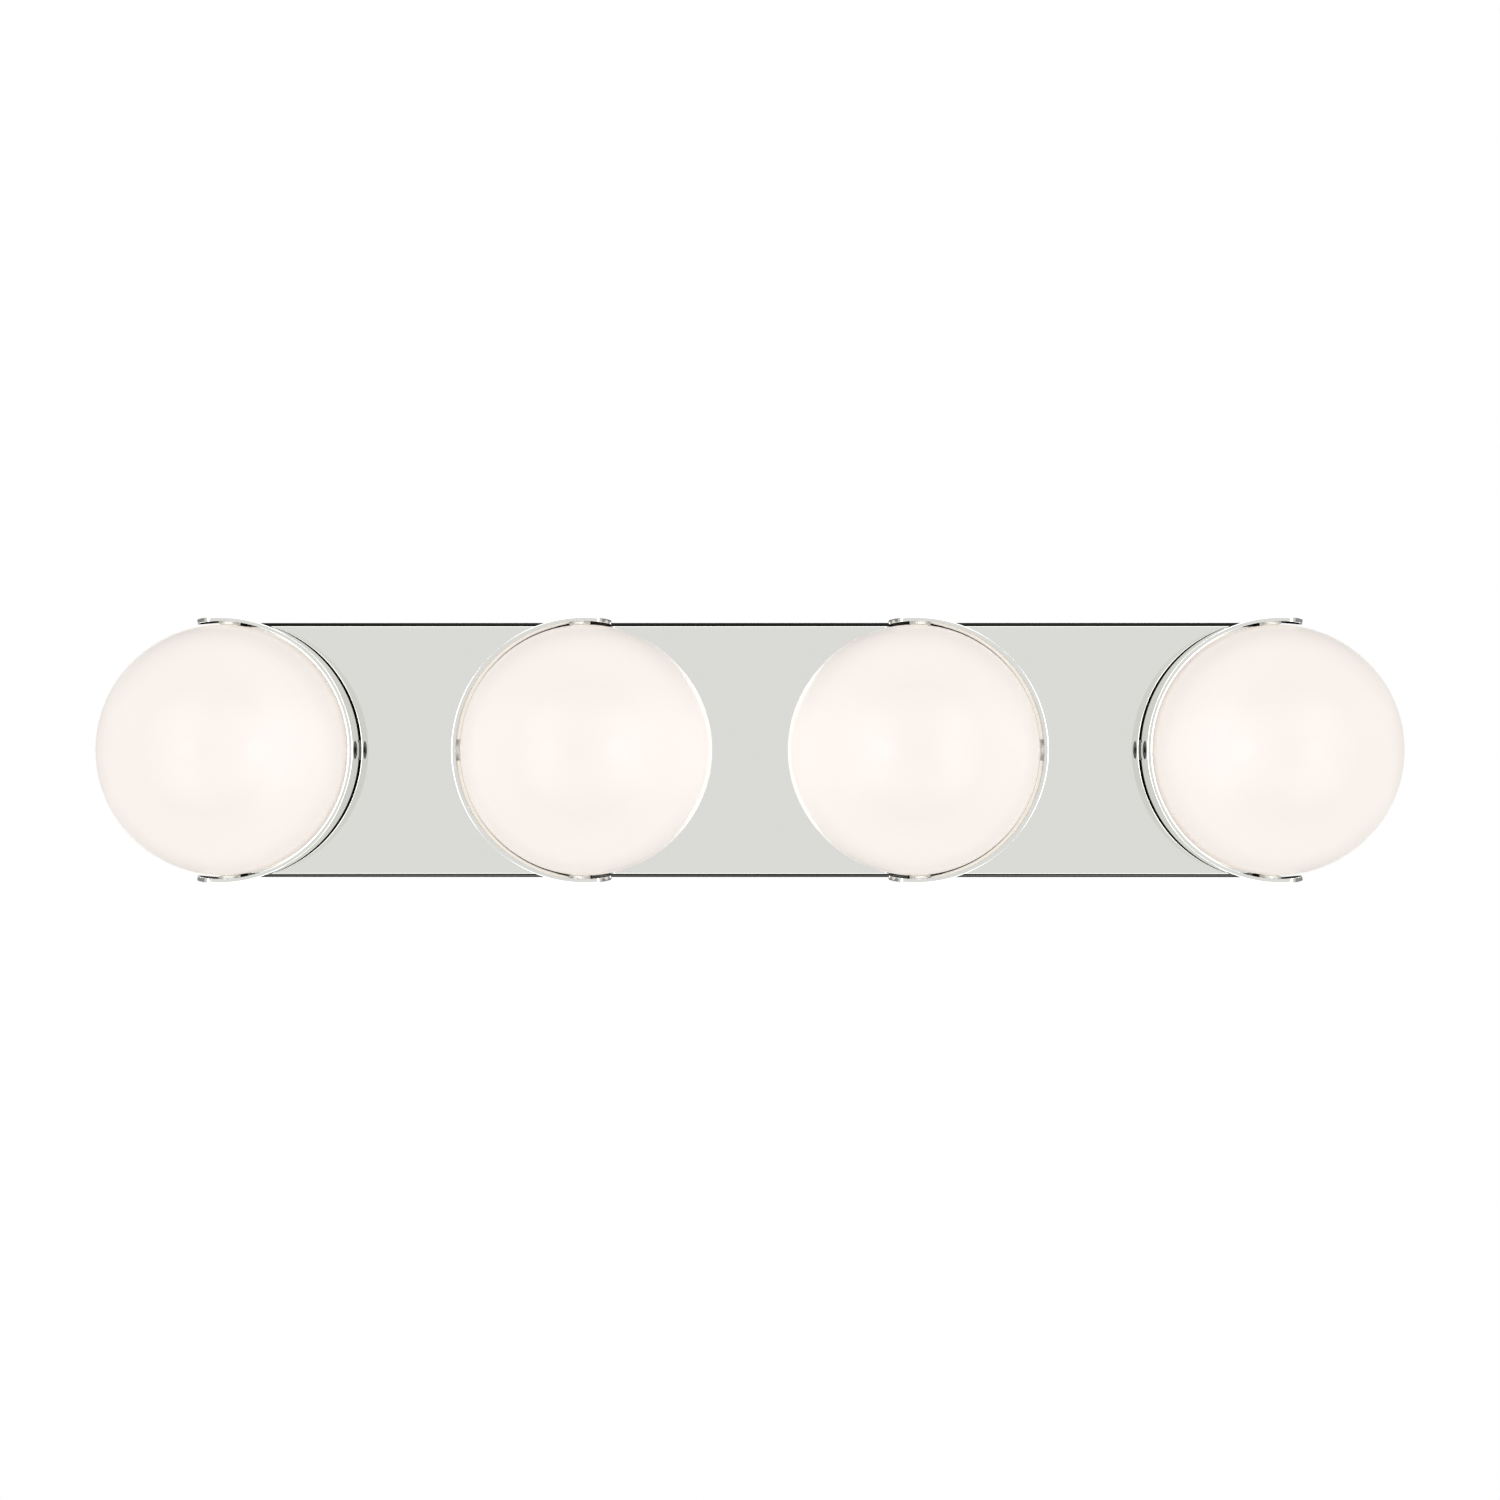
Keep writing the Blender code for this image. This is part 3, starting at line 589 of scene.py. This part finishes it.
def make_pan():
    bm = bmesh.new()
    bmesh.ops.create_circle(bm, segments=PAN_STEPS, radius=PAN_HALF_HEIGHT, cap_ends=True)
    bmesh.ops.transform(bm, matrix=out_of_wall(out=PAN_FRONT), verts=bm.verts)
    for vert in bm.verts:
        vert.co.x += math.copysign(PAN_END, vert.co.x)
    front = bm.faces[:][0]
    back = moved_verts(bmesh.ops.extrude_edge_only(bm, edges=list(front.edges)))
    bmesh.ops.translate(bm, vec=(0, PAN_FRONT, 0), verts=back)
    bmesh.ops.recalc_face_normals(bm, faces=bm.faces)
    if front.normal.y > 0:
        bmesh.ops.reverse_faces(bm, faces=bm.faces)
    bmesh.ops.bevel(bm, geom=list(front.edges), offset=PAN_EDGE, segments=8, affect="EDGES", profile=0.5,
                    material=-1)
    face = max(bm.faces, key=lambda each: each.calc_area())
    bmesh.ops.inset_region(bm, faces=[face], thickness=FACE_RING, depth=0)
    bmesh.ops.solidify(bm, geom=bm.faces[:], thickness=PAN_SHEET)
    pan = piece_from(bm, "pan", polished_nickel, "fixture", "backplate")
    for head in HEADS:
        drill_round(pan, STEM_RADIUS + TOUCH, 4 * MM, out_of_wall(head_x[head], 0, PAN_FRONT))
    for node in SIDE_SCREWS:
        screw = middle_of(node)
        hole = Matrix.Translation((screw.x, screw.y, math.copysign(PAN_HALF_HEIGHT, screw.z)))
        drill_round(pan, SIDE_HOLE, 6 * MM, hole)


make_pan()

# %% [markdown]
# ## The opal domes
# Each dome is a blown globe, flattened and cut off behind its widest ring, which is where the screws bear
# on it. A sphere is scaled to the globe, given its wall, and both skins are cut by one plane; bridging
# the two cut edges closes the rim. The rim is fire-polished, so its two edges are rounded. Last, every
# corner gets its place across the dome, in radii, for the glass material to read. The place is mirrored
# on the two right-hand heads, so that every lamp's glow lies towards the middle of the bar.

# %% the domes
LAMP_SHIFT = {1: 0.15, 2: 0.03, 3: 0.03, 4: 0.15}     # the lamp's glow from the dome's middle, in radii
GLASS_LIP = 0.8 * MM        # the rounding of the rim's edges
DOME_TURNS, DOME_RINGS = 96, 64


def make_dome(head):
    bulge = GLASS_FRONT - STRAP_MIDDLE
    rim_height = GLASS_RIM - STRAP_MIDDLE
    bm = bmesh.new()
    bmesh.ops.create_uvsphere(bm, u_segments=DOME_TURNS, v_segments=DOME_RINGS, radius=1)
    bmesh.ops.scale(bm, vec=(GLASS_RADIUS, GLASS_RADIUS, bulge), verts=bm.verts)
    bmesh.ops.recalc_face_normals(bm, faces=bm.faces)
    bmesh.ops.solidify(bm, geom=bm.faces[:], thickness=GLASS_WALL)
    bmesh.ops.bisect_plane(bm, geom=bm.verts[:] + bm.edges[:] + bm.faces[:], dist=0.000001,
                           plane_co=(0, 0, rim_height), plane_no=(0, 0, -1), clear_outer=True)
    cut_edges = [edge for edge in bm.edges if edge.is_boundary]
    bmesh.ops.bridge_loops(bm, edges=cut_edges)
    bmesh.ops.bevel(bm, geom=cut_edges, offset=GLASS_LIP, segments=3, affect="EDGES", profile=0.5,
                    material=-1, clamp_overlap=True)
    bmesh.ops.transform(bm, matrix=out_of_wall(head_x[head], 0, STRAP_MIDDLE), verts=bm.verts)
    across = bm.loops.layers.uv.new("dome")
    from_lamp = bm.loops.layers.uv.new("lamp")
    for face in bm.faces:
        for loop in face.loops:
            x = lamp_side[head] * (loop.vert.co.x - head_x[head]) / GLASS_RADIUS
            z = loop.vert.co.z / GLASS_RADIUS
            loop[across].uv = (x, z)
            loop[from_lamp].uv = (x - LAMP_SHIFT[head], z)
    piece_from(bm, f"opal_dome_{head}", opal_glass, f"shade_{head}", f"glass_{head}")


for head in HEADS:
    make_dome(head)

# %% [markdown]
# ## The C-shaped straps
# A strap is a flat blank with round ends, rolled round the glass. The model is made the same way: a grid
# is shaped into the blank, its columns packed closer in the round ends, and wrapped round a cylinder.
# Solidify gives it its thickness, a fine bevel its edges, and three cutters its holes. The edge towards
# the wall is painted near black, as painted shade for the gap between the strap and the pan.

# %% the straps
TIP_ANGLE = math.radians(101.25)            # from the strap's middle to the end of a tip
STRAP_HALF_WIDTH = (STRAP_FRONT - STRAP_BACK) / 2
STRAP_EDGE = 0.45 * MM
SCREW_HOLE = 4.6 * MM
TIP_COLUMNS = 14
BAND_COLUMNS = 120
STRAP_COLUMNS = TIP_COLUMNS * 2 + BAND_COLUMNS
STRAP_ROWS = 6


def blank_column(number):
    """The place along the blank, in metres from its middle, and the blank's half width there."""
    straight = TIP_ANGLE * STRAP_RADIUS - STRAP_HALF_WIDTH
    if number <= TIP_COLUMNS:
        turn = math.pi / 2 * number / TIP_COLUMNS
        return -straight - STRAP_HALF_WIDTH * math.cos(turn), STRAP_HALF_WIDTH * math.sin(turn)
    if number >= STRAP_COLUMNS - TIP_COLUMNS:
        along, width = blank_column(STRAP_COLUMNS - number)
        return -along, width
    return straight * (2 * (number - TIP_COLUMNS) / BAND_COLUMNS - 1), STRAP_HALF_WIDTH


def screw_places(head):
    """The three knurled screws' names and placements: local Z runs out from the head's axis."""
    centre = Vector((head_x[head], -STRAP_MIDDLE, 0))
    for name in ("top", "middle", "bottom"):
        screw = middle_of(f"strap_screw_{head}_{name}")
        yield name, facing((screw.x - centre.x, 0, screw.z), centre)


def make_strap(head):
    bm = bmesh.new()
    bmesh.ops.create_grid(bm, x_segments=STRAP_COLUMNS, y_segments=STRAP_ROWS, size=0.5)
    for vert in bm.verts:
        along, width = blank_column(round((vert.co.x + 0.5) * STRAP_COLUMNS))
        turn = along / STRAP_RADIUS
        out = STRAP_MIDDLE + vert.co.y * 2 * width
        side = strap_side[head]
        vert.co = (head_x[head] + side * STRAP_RADIUS * math.cos(turn), -out, STRAP_RADIUS * math.sin(turn))
    tidy(bm)
    sample = max(bm.faces, key=lambda face: abs(face.calc_center_median().x - head_x[head]))
    if sample.normal.x * strap_side[head] < 0:
        bmesh.ops.reverse_faces(bm, faces=bm.faces)
    bmesh.ops.solidify(bm, geom=bm.faces[:], thickness=STRAP_SHEET)
    edges = [edge for edge in bm.edges if edge.calc_face_angle(0) > CUT_EDGE]
    bmesh.ops.bevel(bm, geom=edges, offset=STRAP_EDGE, segments=3, affect="EDGES", profile=0.5, material=-1,
                    clamp_overlap=True)
    for face in bm.faces:
        # the edge towards the wall gets the painted shade material, near black for the dark gap behind the
        # strap
        if face.normal.y > 0.6:         # the edge towards the wall
            face.material_index = 1
    finishes = (polished_nickel, painted_shade_edge)
    strap = piece_from(bm, f"c_strap_{head}", finishes, "fixture", f"strap_{head}")
    for _, place in screw_places(head):
        drill_round(strap, SCREW_HOLE, 8 * MM, place @ Matrix.Translation((0, 0, STRAP_RADIUS)))


for head in HEADS:
    make_strap(head)

# %% [markdown]
# ## The knurled screws
# Each screw's threaded end sits just below the strap's outside, blackened, with a round socket for a key.
# Its collar, inside the strap, is knurled so that fingers can turn it, and bears on the glass. The knurl
# is a circle with every other corner pulled in, which is what a straight knurl looks like end on.

# %% the knurled screws
COLLAR_RADIUS = 5.2 * MM
COLLAR_TEETH = 40
TOOTH_DEPTH = 0.09 * MM
SHANK_RADIUS = 4.5 * MM
NOSE_GAP = 0.15 * MM        # between the glass and the collar
COLLAR_GAP = 0.05 * MM      # between the collar and the strap
SET_BACK = 0.15 * MM        # of the screw's end in the strap's outside
SOCKET_RADIUS = 1.9 * MM
SOCKET_DEPTH = 0.9 * MM


def make_collar(head, name, place):
    """The knurled part between the glass and the strap."""
    nose = GLASS_RADIUS + NOSE_GAP
    under_strap = STRAP_RADIUS - STRAP_SHEET - COLLAR_GAP
    bm = bmesh.new()
    bmesh.ops.create_circle(bm, segments=COLLAR_TEETH * 2, radius=COLLAR_RADIUS, cap_ends=True)
    for number, vert in enumerate(bm.verts):
        if number % 2:
            vert.co *= 1 - TOOTH_DEPTH / COLLAR_RADIUS
    bmesh.ops.translate(bm, vec=(0, 0, nose), verts=bm.verts)
    raised = moved_verts(bmesh.ops.extrude_face_region(bm, geom=bm.faces[:]))
    bmesh.ops.translate(bm, vec=(0, 0, under_strap - nose), verts=raised)
    tidy(bm)
    bmesh.ops.transform(bm, matrix=place, verts=bm.verts)
    piece_from(bm, f"knurled_collar_{head}_{name}", satin_nickel, "fixture", f"strap_screw_{head}_{name}",
               crease=25)


def make_screw_end(head, name, place):
    """The threaded end in the strap's hole, with a round socket."""
    root = STRAP_RADIUS - STRAP_SHEET + OVERLAP
    end = STRAP_RADIUS - SET_BACK
    floor = end - SOCKET_DEPTH
    bm = bmesh.new()
    turned(bm, ((0, floor), (SOCKET_RADIUS, floor), (SOCKET_RADIUS, end), (SHANK_RADIUS, end),
                (SHANK_RADIUS, root), (0, root)), 40)
    bmesh.ops.transform(bm, matrix=place, verts=bm.verts)
    piece_from(bm, f"screw_end_{head}_{name}", blackened_steel, "fixture", f"strap_screw_{head}_{name}",
               crease=25)


for head in HEADS:
    for name, place in screw_places(head):
        make_collar(head, name, place)
        make_screw_end(head, name, place)

# %% [markdown]
# ## The fitters and gaskets
# Behind each dome is a spun dish: a flange for the glass to sit on, a collar that centres it, and a hollow
# stem through the pan. Three L-shaped ears, welded to the flange, carry the strap. The dish is one turned
# profile with softened corners. Each ear is drawn side on as an L and extruded to its width. The ears
# hide behind the strap and are painted near black, as painted shade for the gap there. The gasket is a soft
# flat ring.

# %% the fitters and gaskets
FLANGE_SEAT = PAN_FRONT + TOUCH
FLANGE_TOP = FLANGE_SEAT + 1 * MM
FLANGE_RADIUS = 60.6 * MM
FITTER_COLLAR = 56.2 * MM
FITTER_SHEET = 1.4 * MM
FITTER_TOP = -box_of("fitter_1")[0].y
STEM_END = -box_of("fitter_1")[1].y
STEM_BORE = 4 * MM
EAR_WIDTH = 10 * MM
EAR_ROOT = 58.2 * MM
EAR_SHEET = 0.8 * MM
GASKET_WIDTH = 3 * MM


def add_ear(bm, direction, place):
    """Add an ear to a fitter: direction is its angle round the head's axis."""
    end = STRAP_RADIUS - OVERLAP
    upright = STRAP_RADIUS - STRAP_SHEET + OVERLAP
    low = FLANGE_SEAT + OVERLAP
    high = low + EAR_SHEET
    top = STRAP_BACK - TOUCH
    outline = ((EAR_ROOT, low), (end, low), (end, top), (upright, top), (upright, high), (EAR_ROOT, high))
    corners = [bm.verts.new((radius, -EAR_WIDTH / 2, height)) for radius, height in outline]
    side = bm.faces.new(corners)
    swept = moved_verts(bmesh.ops.extrude_face_region(bm, geom=[side]))
    bmesh.ops.translate(bm, vec=(0, EAR_WIDTH, 0), verts=swept)
    turn = Matrix.Rotation(direction, 4, "Z")
    bmesh.ops.transform(bm, matrix=place @ turn, verts=corners + swept)
    # the ear takes the second material, near-black painted shade for the gap behind the strap
    for face in {face for vert in corners + swept for face in vert.link_faces}:
        face.material_index = 1


def make_fitter(head):
    place = out_of_wall(head_x[head])
    inner = FITTER_COLLAR - FITTER_SHEET
    bm = bmesh.new()
    turned(bm, ((FITTER_COLLAR, FITTER_TOP), (FITTER_COLLAR, FLANGE_TOP), (FLANGE_RADIUS, FLANGE_TOP),
                (FLANGE_RADIUS, FLANGE_SEAT), (STEM_RADIUS, FLANGE_SEAT), (STEM_RADIUS, STEM_END),
                (STEM_BORE, STEM_END), (STEM_BORE, FLANGE_TOP), (inner, FLANGE_TOP), (inner, FITTER_TOP)),
           96, 0.3 * MM, 3, place)
    for _, screw_place in screw_places(head):
        way = screw_place.col[2]
        add_ear(bm, math.atan2(way.z, way.x), place)
    bmesh.ops.recalc_face_normals(bm, faces=bm.faces)
    # the second material paints the ears near black, as shade
    piece_from(bm, f"fitter_dish_{head}", (polished_nickel, painted_shade_edge), "fixture", f"fitter_{head}")


def make_gasket(head):
    low, high = box_of(f"gasket_{head}")
    outer = (high.x - low.x) / 2
    bm = bmesh.new()
    inner = outer - GASKET_WIDTH
    turned(bm, ((outer, -low.y), (outer, -high.y), (inner, -high.y), (inner, -low.y)), 96, 0.2 * MM, 2,
           out_of_wall(head_x[head]))
    piece_from(bm, f"glass_gasket_{head}", silicone, "fixture", f"gasket_{head}")


def make_fitter_nut(head):
    """A hexagon nut with its corners eased, on the stem inside the pan."""
    low, high = box_of(f"fitter_nut_{head}")
    middle = (low + high) / 2
    place = out_of_wall(middle.x, 0, -middle.y)
    radius = (high.x - low.x) / 2
    bm = bmesh.new()
    bmesh.ops.create_cone(bm, cap_ends=True, segments=6, radius1=radius, radius2=radius,
                          depth=high.y - low.y)
    bmesh.ops.bevel(bm, geom=bm.edges[:], offset=0.45 * MM, segments=2, affect="EDGES", profile=0.5,
                    material=-1)
    bmesh.ops.transform(bm, matrix=place, verts=bm.verts)
    nut = piece_from(bm, f"stem_nut_{head}", zinc, "fixture", f"fitter_nut_{head}")
    drill_round(nut, STEM_RADIUS + TOUCH, 10 * MM, place)


for head in HEADS:
    make_fitter(head)
    make_gasket(head)
    make_fitter_nut(head)

# %% [markdown]
# ## The lampholders and lamps
# The porcelain lampholder has a round body on a wider foot, a turned groove, and two slots for the lamp's
# flat pins. Two small rivets fix its foot to the dish. The lamp is a frosted capsule in a ceramic base, so
# it is made as three closed shapes in one mesh: capsule, base and pins, each with its own material.

# %% the lampholders and lamps
PIN_SPACING = 9 * MM
PIN_SLOT = (3 * MM, 2.6 * MM, 15 * MM)
PIN = (1.8 * MM, 1.0 * MM, 7.4 * MM)
HOLDER_RADIUS = 9.5 * MM
HOLDER_BORE = (3.4 * MM, 6.5 * MM)          # radius and depth of the hole for the wires
FOOT_HEIGHT = 3 * MM
GROOVE = (5 * MM, 1.2 * MM, 0.6 * MM)       # below the face, width, depth
RIVET_PLACE = 11.7 * MM
RIVET = ((0, 3.9), (0.9, 3.8), (1.5, 3.1), (1.5, 2.5), (0, 2.5))     # radius and height, in millimetres
LAMP_BASE = (6.4 * MM, 7 * MM)              # radius, and height above the pins' ends


def make_lampholder(head):
    low, high = box_of(f"lampholder_{head}")
    seat, face = -high.y, -low.y
    place = out_of_wall(head_x[head])
    body, foot, step = HOLDER_RADIUS, (high.x - low.x) / 2, seat + FOOT_HEIGHT
    bore, bore_end = HOLDER_BORE[0], seat + HOLDER_BORE[1]
    groove_top = face - GROOVE[0]
    groove_end, neck = groove_top - GROOVE[1], body - GROOVE[2]
    bm = bmesh.new()
    turned(bm, ((0, face), (body, face), (body, groove_top), (neck, groove_top), (neck, groove_end),
                (body, groove_end), (body, step), (foot, step), (foot, seat), (bore, seat),
                (bore, bore_end), (0, bore_end)), 64, 0.4 * MM, 3, place)
    for side in (-1, 1):
        turned(bm, [(radius * MM, seat + height * MM) for radius, height in RIVET], 20,
               place=out_of_wall(head_x[head], side * RIVET_PLACE), material=1)
    holder = piece_from(bm, f"porcelain_holder_{head}", (porcelain, zinc), "fixture", f"lampholder_{head}")
    slots = bmesh.new()
    for side in (-1, 1):
        add_block(slots, PIN_SLOT, out_of_wall(head_x[head] + side * PIN_SPACING / 2, 0, face))
    drill(holder, slots)


def make_lamp(head):
    low, high = box_of(f"lamp_{head}")
    tip, pins = -low.y, -high.y
    base, radius = pins + LAMP_BASE[1], LAMP_BASE[0]
    place = out_of_wall(head_x[head])
    widest = (high.x - low.x) / 2
    bm = bmesh.new()
    turned(bm, ((0, tip), (widest * 0.55, tip), (widest, base + 10.4 * MM), (widest, base + 4.4 * MM),
                (widest - 1.2 * MM, base + 3.4 * MM), (0, base + 3.4 * MM)), 48, 1.3 * MM, 5, place)
    turned(bm, ((0, base + 3.3 * MM), (radius, base + 3.3 * MM), (radius, base), (0, base)), 40, 0.35 * MM,
           2, place, material=1)
    for side in (-1, 1):
        pin_x = head_x[head] + side * PIN_SPACING / 2
        add_block(bm, PIN, out_of_wall(pin_x, 0, pins + PIN[2] / 2), 0.25 * MM, 2)
    piece_from(bm, f"capsule_lamp_{head}", (lamp_glass, porcelain, zinc), f"bulb_{head}", f"lamp_{head}")


for head in HEADS:
    make_lampholder(head)
    make_lamp(head)

# %% [markdown]
# ## The wall bracket
# The bracket is a steel strip with its two long edges bent forward. Its section is a few points whose
# corners are rounded to the bend, extruded to its length and given its thickness. Then it is punched: two
# slots for the outlet box, four wall anchors, the supply hole, the earth screw's hole and the side
# screws' tapped holes.

# %% the wall bracket
BRACKET_SHEET = 1.5 * MM
BEND = 2.6 * MM
BOX_SLOT = (22 * MM, 4.8 * MM)
BOX_SCREW_SPACING = 83.3 * MM
ANCHORS = (92 * MM, 45 * MM)
ANCHOR_RADIUS = 2.5 * MM
SUPPLY_Z = -22 * MM
SUPPLY_RADIUS = 11 * MM
TAPPED_HOLE = 2 * MM


def add_slot(bm, length, height, place):
    """Add a round-ended slot's cutter: a circle pulled apart and extruded."""
    made = bmesh.ops.create_circle(bm, segments=32, radius=height / 2, cap_ends=True)
    for vert in made["verts"]:
        vert.co.x += math.copysign((length - height) / 2, vert.co.x)
    bmesh.ops.translate(bm, vec=(0, 0, -3 * MM), verts=made["verts"])
    face = next(iter(made["verts"][0].link_faces))
    swept = moved_verts(bmesh.ops.extrude_face_region(bm, geom=[face]))
    bmesh.ops.translate(bm, vec=(0, 0, 6 * MM), verts=swept)
    bmesh.ops.transform(bm, matrix=place, verts=made["verts"] + swept)
    bmesh.ops.recalc_face_normals(bm, faces=bm.faces)


def make_bracket():
    low, high = box_of("wall_bracket")
    bm = bmesh.new()
    section = ((low.y, low.z), (high.y, low.z), (high.y, high.z), (low.y, high.z))
    points = [bm.verts.new((low.x, y, z)) for y, z in section]
    for pair in zip(points, points[1:]):
        bm.edges.new(pair)
    bmesh.ops.bevel(bm, geom=points[1:3], offset=BEND, segments=5, affect="VERTICES", profile=0.5,
                    material=-1)
    swept = moved_verts(bmesh.ops.extrude_edge_only(bm, edges=bm.edges[:]))
    bmesh.ops.translate(bm, vec=(high.x - low.x, 0, 0), verts=swept)
    bmesh.ops.recalc_face_normals(bm, faces=bm.faces)
    if max(bm.faces, key=lambda face: face.calc_area()).normal.y < 0:
        bmesh.ops.reverse_faces(bm, faces=bm.faces)
    bmesh.ops.solidify(bm, geom=bm.faces[:], thickness=BRACKET_SHEET)
    edges = [edge for edge in bm.edges if edge.calc_face_angle(0) > CUT_EDGE]
    bmesh.ops.bevel(bm, geom=edges, offset=0.25 * MM, segments=2, affect="EDGES", profile=0.5, material=-1,
                    clamp_overlap=True)
    bracket = piece_from(bm, "bent_bracket", zinc, "fixture", "wall_bracket")
    for side in (-1, 1):
        slot = bmesh.new()
        add_slot(slot, *BOX_SLOT, out_of_wall(side * BOX_SCREW_SPACING / 2))
        drill(bracket, slot)
        for level in (-1, 1):
            anchor = out_of_wall(side * ANCHORS[0], level * ANCHORS[1])
            drill_round(bracket, ANCHOR_RADIUS, 6 * MM, anchor, 24)
    for node in SIDE_SCREWS:
        screw = middle_of(node)
        place = Matrix.Translation((screw.x, screw.y, math.copysign(high.z, screw.z)))
        drill_round(bracket, TAPPED_HOLE, 8 * MM, place, 24)
    drill_round(bracket, SUPPLY_RADIUS, 6 * MM, out_of_wall(0, SUPPLY_Z))
    ground = middle_of("ground_screw")
    drill_round(bracket, SIDE_HOLE, 6 * MM, out_of_wall(ground.x, ground.z), 24)


make_bracket()

# %% [markdown]
# ## Screws and wire nuts
# The side screws have shallow domed heads with a cross recess, and the green earthing screw has a flat
# head with a slot. A twist-on wire nut is a tapered cap with ribs for the fingers: every other step of its
# turned outside is pulled in.

# %% screws and wire nuts
CROSS = ((2.6 * MM, 0.6 * MM, 1.2 * MM), (0.6 * MM, 2.6 * MM, 1.2 * MM))     # the recess's two bars
RIB_STEPS = 48
RIB_DEPTH = 0.3 * MM
CAP_BORE = 3.7 * MM         # the ribs are outside this radius


def make_side_screw(node):
    low, high = box_of(node)
    middle = (low + high) / 2
    level = 1 if middle.z > 0 else -1
    top = max(abs(low.z), abs(high.z))
    seat = PAN_HALF_HEIGHT + TOUCH
    tip = min(abs(low.z), abs(high.z))
    place = facing((0, 0, level), (middle.x, middle.y, 0))
    bm = bmesh.new()
    turned(bm, ((0, top), (1.4 * MM, top - 0.05 * MM), (2.6 * MM, top - 0.4 * MM), (3.4 * MM, seat),
                (1.7 * MM, seat), (1.7 * MM, tip + 0.6 * MM), (1.2 * MM, tip), (0, tip)), 32, 0.12 * MM, 2,
           place)
    screw = piece_from(bm, f"pan_screw_{node[11:]}", zinc, "fixture", node)
    for size in CROSS:
        bar = bmesh.new()
        add_block(bar, size, place @ Matrix.Translation((0, 0, top)))
        drill(screw, bar)


def make_ground_screw():
    low, high = box_of("ground_screw")
    middle = (low + high) / 2
    radius = (high.x - low.x) / 2
    top, seat = -low.y, 1.8 * MM
    place = out_of_wall(middle.x, middle.z)
    bm = bmesh.new()
    turned(bm, ((0, top), (radius, top), (radius, seat), (1.8 * MM, seat), (1.8 * MM, -high.y),
                (0, -high.y)), 40, 0.3 * MM, 3, place)
    screw = piece_from(bm, "earth_screw", green_lacquer, "fixture", "ground_screw")
    slot = bmesh.new()
    add_block(slot, (10 * MM, 1.1 * MM, 2.2 * MM), place @ Matrix.Translation((0, 0, top)))
    drill(screw, slot)


def make_wire_nut(node, direction, finish):
    low, high = box_of(node)
    way = Vector(direction)
    length = abs((high - low).dot(way))
    bm = bmesh.new()
    turned(bm, ((0, length), (2.6 * MM, length), (3.8 * MM, length - 2 * MM), (5.6 * MM, 6 * MM),
                (7 * MM, 5 * MM), (7 * MM, 0), (3.6 * MM, 0), (2.6 * MM, 10 * MM), (0, 10 * MM)),
           RIB_STEPS, 0.4 * MM, 2)
    for vert in bm.verts:
        step = round(math.atan2(vert.co.y, vert.co.x) / math.tau * RIB_STEPS)
        radius = vert.co.xy.length
        if step % 2 and radius > CAP_BORE and vert.co.z > 1 * MM:
            vert.co.xy *= 1 - RIB_DEPTH / radius
    bmesh.ops.transform(bm, matrix=facing(direction, (low + high) / 2 - way * length / 2), verts=bm.verts)
    piece_from(bm, f"twist_{node[5:]}", finish, "fixture", node, crease=50)


for node in SIDE_SCREWS:
    make_side_screw(node)
make_ground_screw()
make_wire_nut("wire_nut_black", (0, 0, 1), orange_nylon)
make_wire_nut("wire_nut_white", (0, 0, -1), orange_nylon)
make_wire_nut("wire_nut_ground", (-1, 0, 0), green_nylon)

# %% [markdown]
# ## The wires
# Solid house wire holds the bends it is given, so each run is a smooth curve through a few points with a
# round bevel. The two leads run along the pan, with a drop to every lampholder and a tail to a wire nut.
# Each curve is turned into a mesh, so that the wires have their real surface.

# %% the wires
WIRE_RADIUS = 0.9 * MM
WIRE_DEPTH = 10 * MM
WIRE_ROW = 9 * MM
WIRE_SPREAD = 1.7 * MM
TAIL_X = 12 * MM
# routes in millimetres: out of the wall and away from the middle, and for the earth wire x and out
DROP = ((35.5, 0), (17, 0), (13, 2.5), (10.6, 6), (10.1, 9))
TAIL = ((10, 9), (11, 16), (12, 22), (12, 32))
GROUND_ROUTE = ((40.4, 3.2), (36, 5), (32, 9), (28, 11.6), (21, 12))


def make_wire(name, runs, finish, node):
    curve = bpy.data.curves.new(name, "CURVE")
    curve.dimensions = "3D"
    curve.bevel_depth = WIRE_RADIUS
    curve.bevel_resolution = 3
    curve.resolution_u = 8
    curve.use_fill_caps = True
    for run in runs:
        spline = curve.splines.new("BEZIER")
        spline.bezier_points.add(len(run) - 1)
        for point, (x, out, z) in zip(spline.bezier_points, run):
            point.co = (x, -out, z)
            point.handle_left_type = point.handle_right_type = "AUTO"
    guide = bpy.data.objects.new(name, curve)
    bpy.context.scene.collection.objects.link(guide)
    graph = bpy.context.evaluated_depsgraph_get()
    bm = bmesh.new()
    bm.from_mesh(bpy.data.meshes.new_from_object(guide.evaluated_get(graph)))
    bpy.data.objects.remove(guide, do_unlink=True)
    tidy(bm)
    piece_from(bm, name, finish, "fixture", node, crease=60)


def lead_runs(level):
    """A lead's trunk, its four drops and its tail, as points (x, out of the wall, z)."""
    row = level * WIRE_ROW
    end = head_x[1] - 6 * MM
    runs = [((end, WIRE_DEPTH, row), (end / 3, WIRE_DEPTH, row), (-end / 3, WIRE_DEPTH, row),
             (-end, WIRE_DEPTH, row))]
    for head in HEADS:
        x = head_x[head] + level * WIRE_SPREAD
        runs.append([(x, out * MM, level * away * MM) for out, away in DROP])
    runs.append([(level * TAIL_X, out * MM, level * away * MM) for out, away in TAIL])
    return runs


make_wire("lead_black", lead_runs(1), black_insulation, "wire_black")
make_wire("lead_white", lead_runs(-1), white_insulation, "wire_white")
ground_z = middle_of("ground_screw").z
make_wire("earth_wire", [[(x * MM, out * MM, ground_z) for x, out in GROUND_ROUTE]], bare_copper,
          "wire_ground")
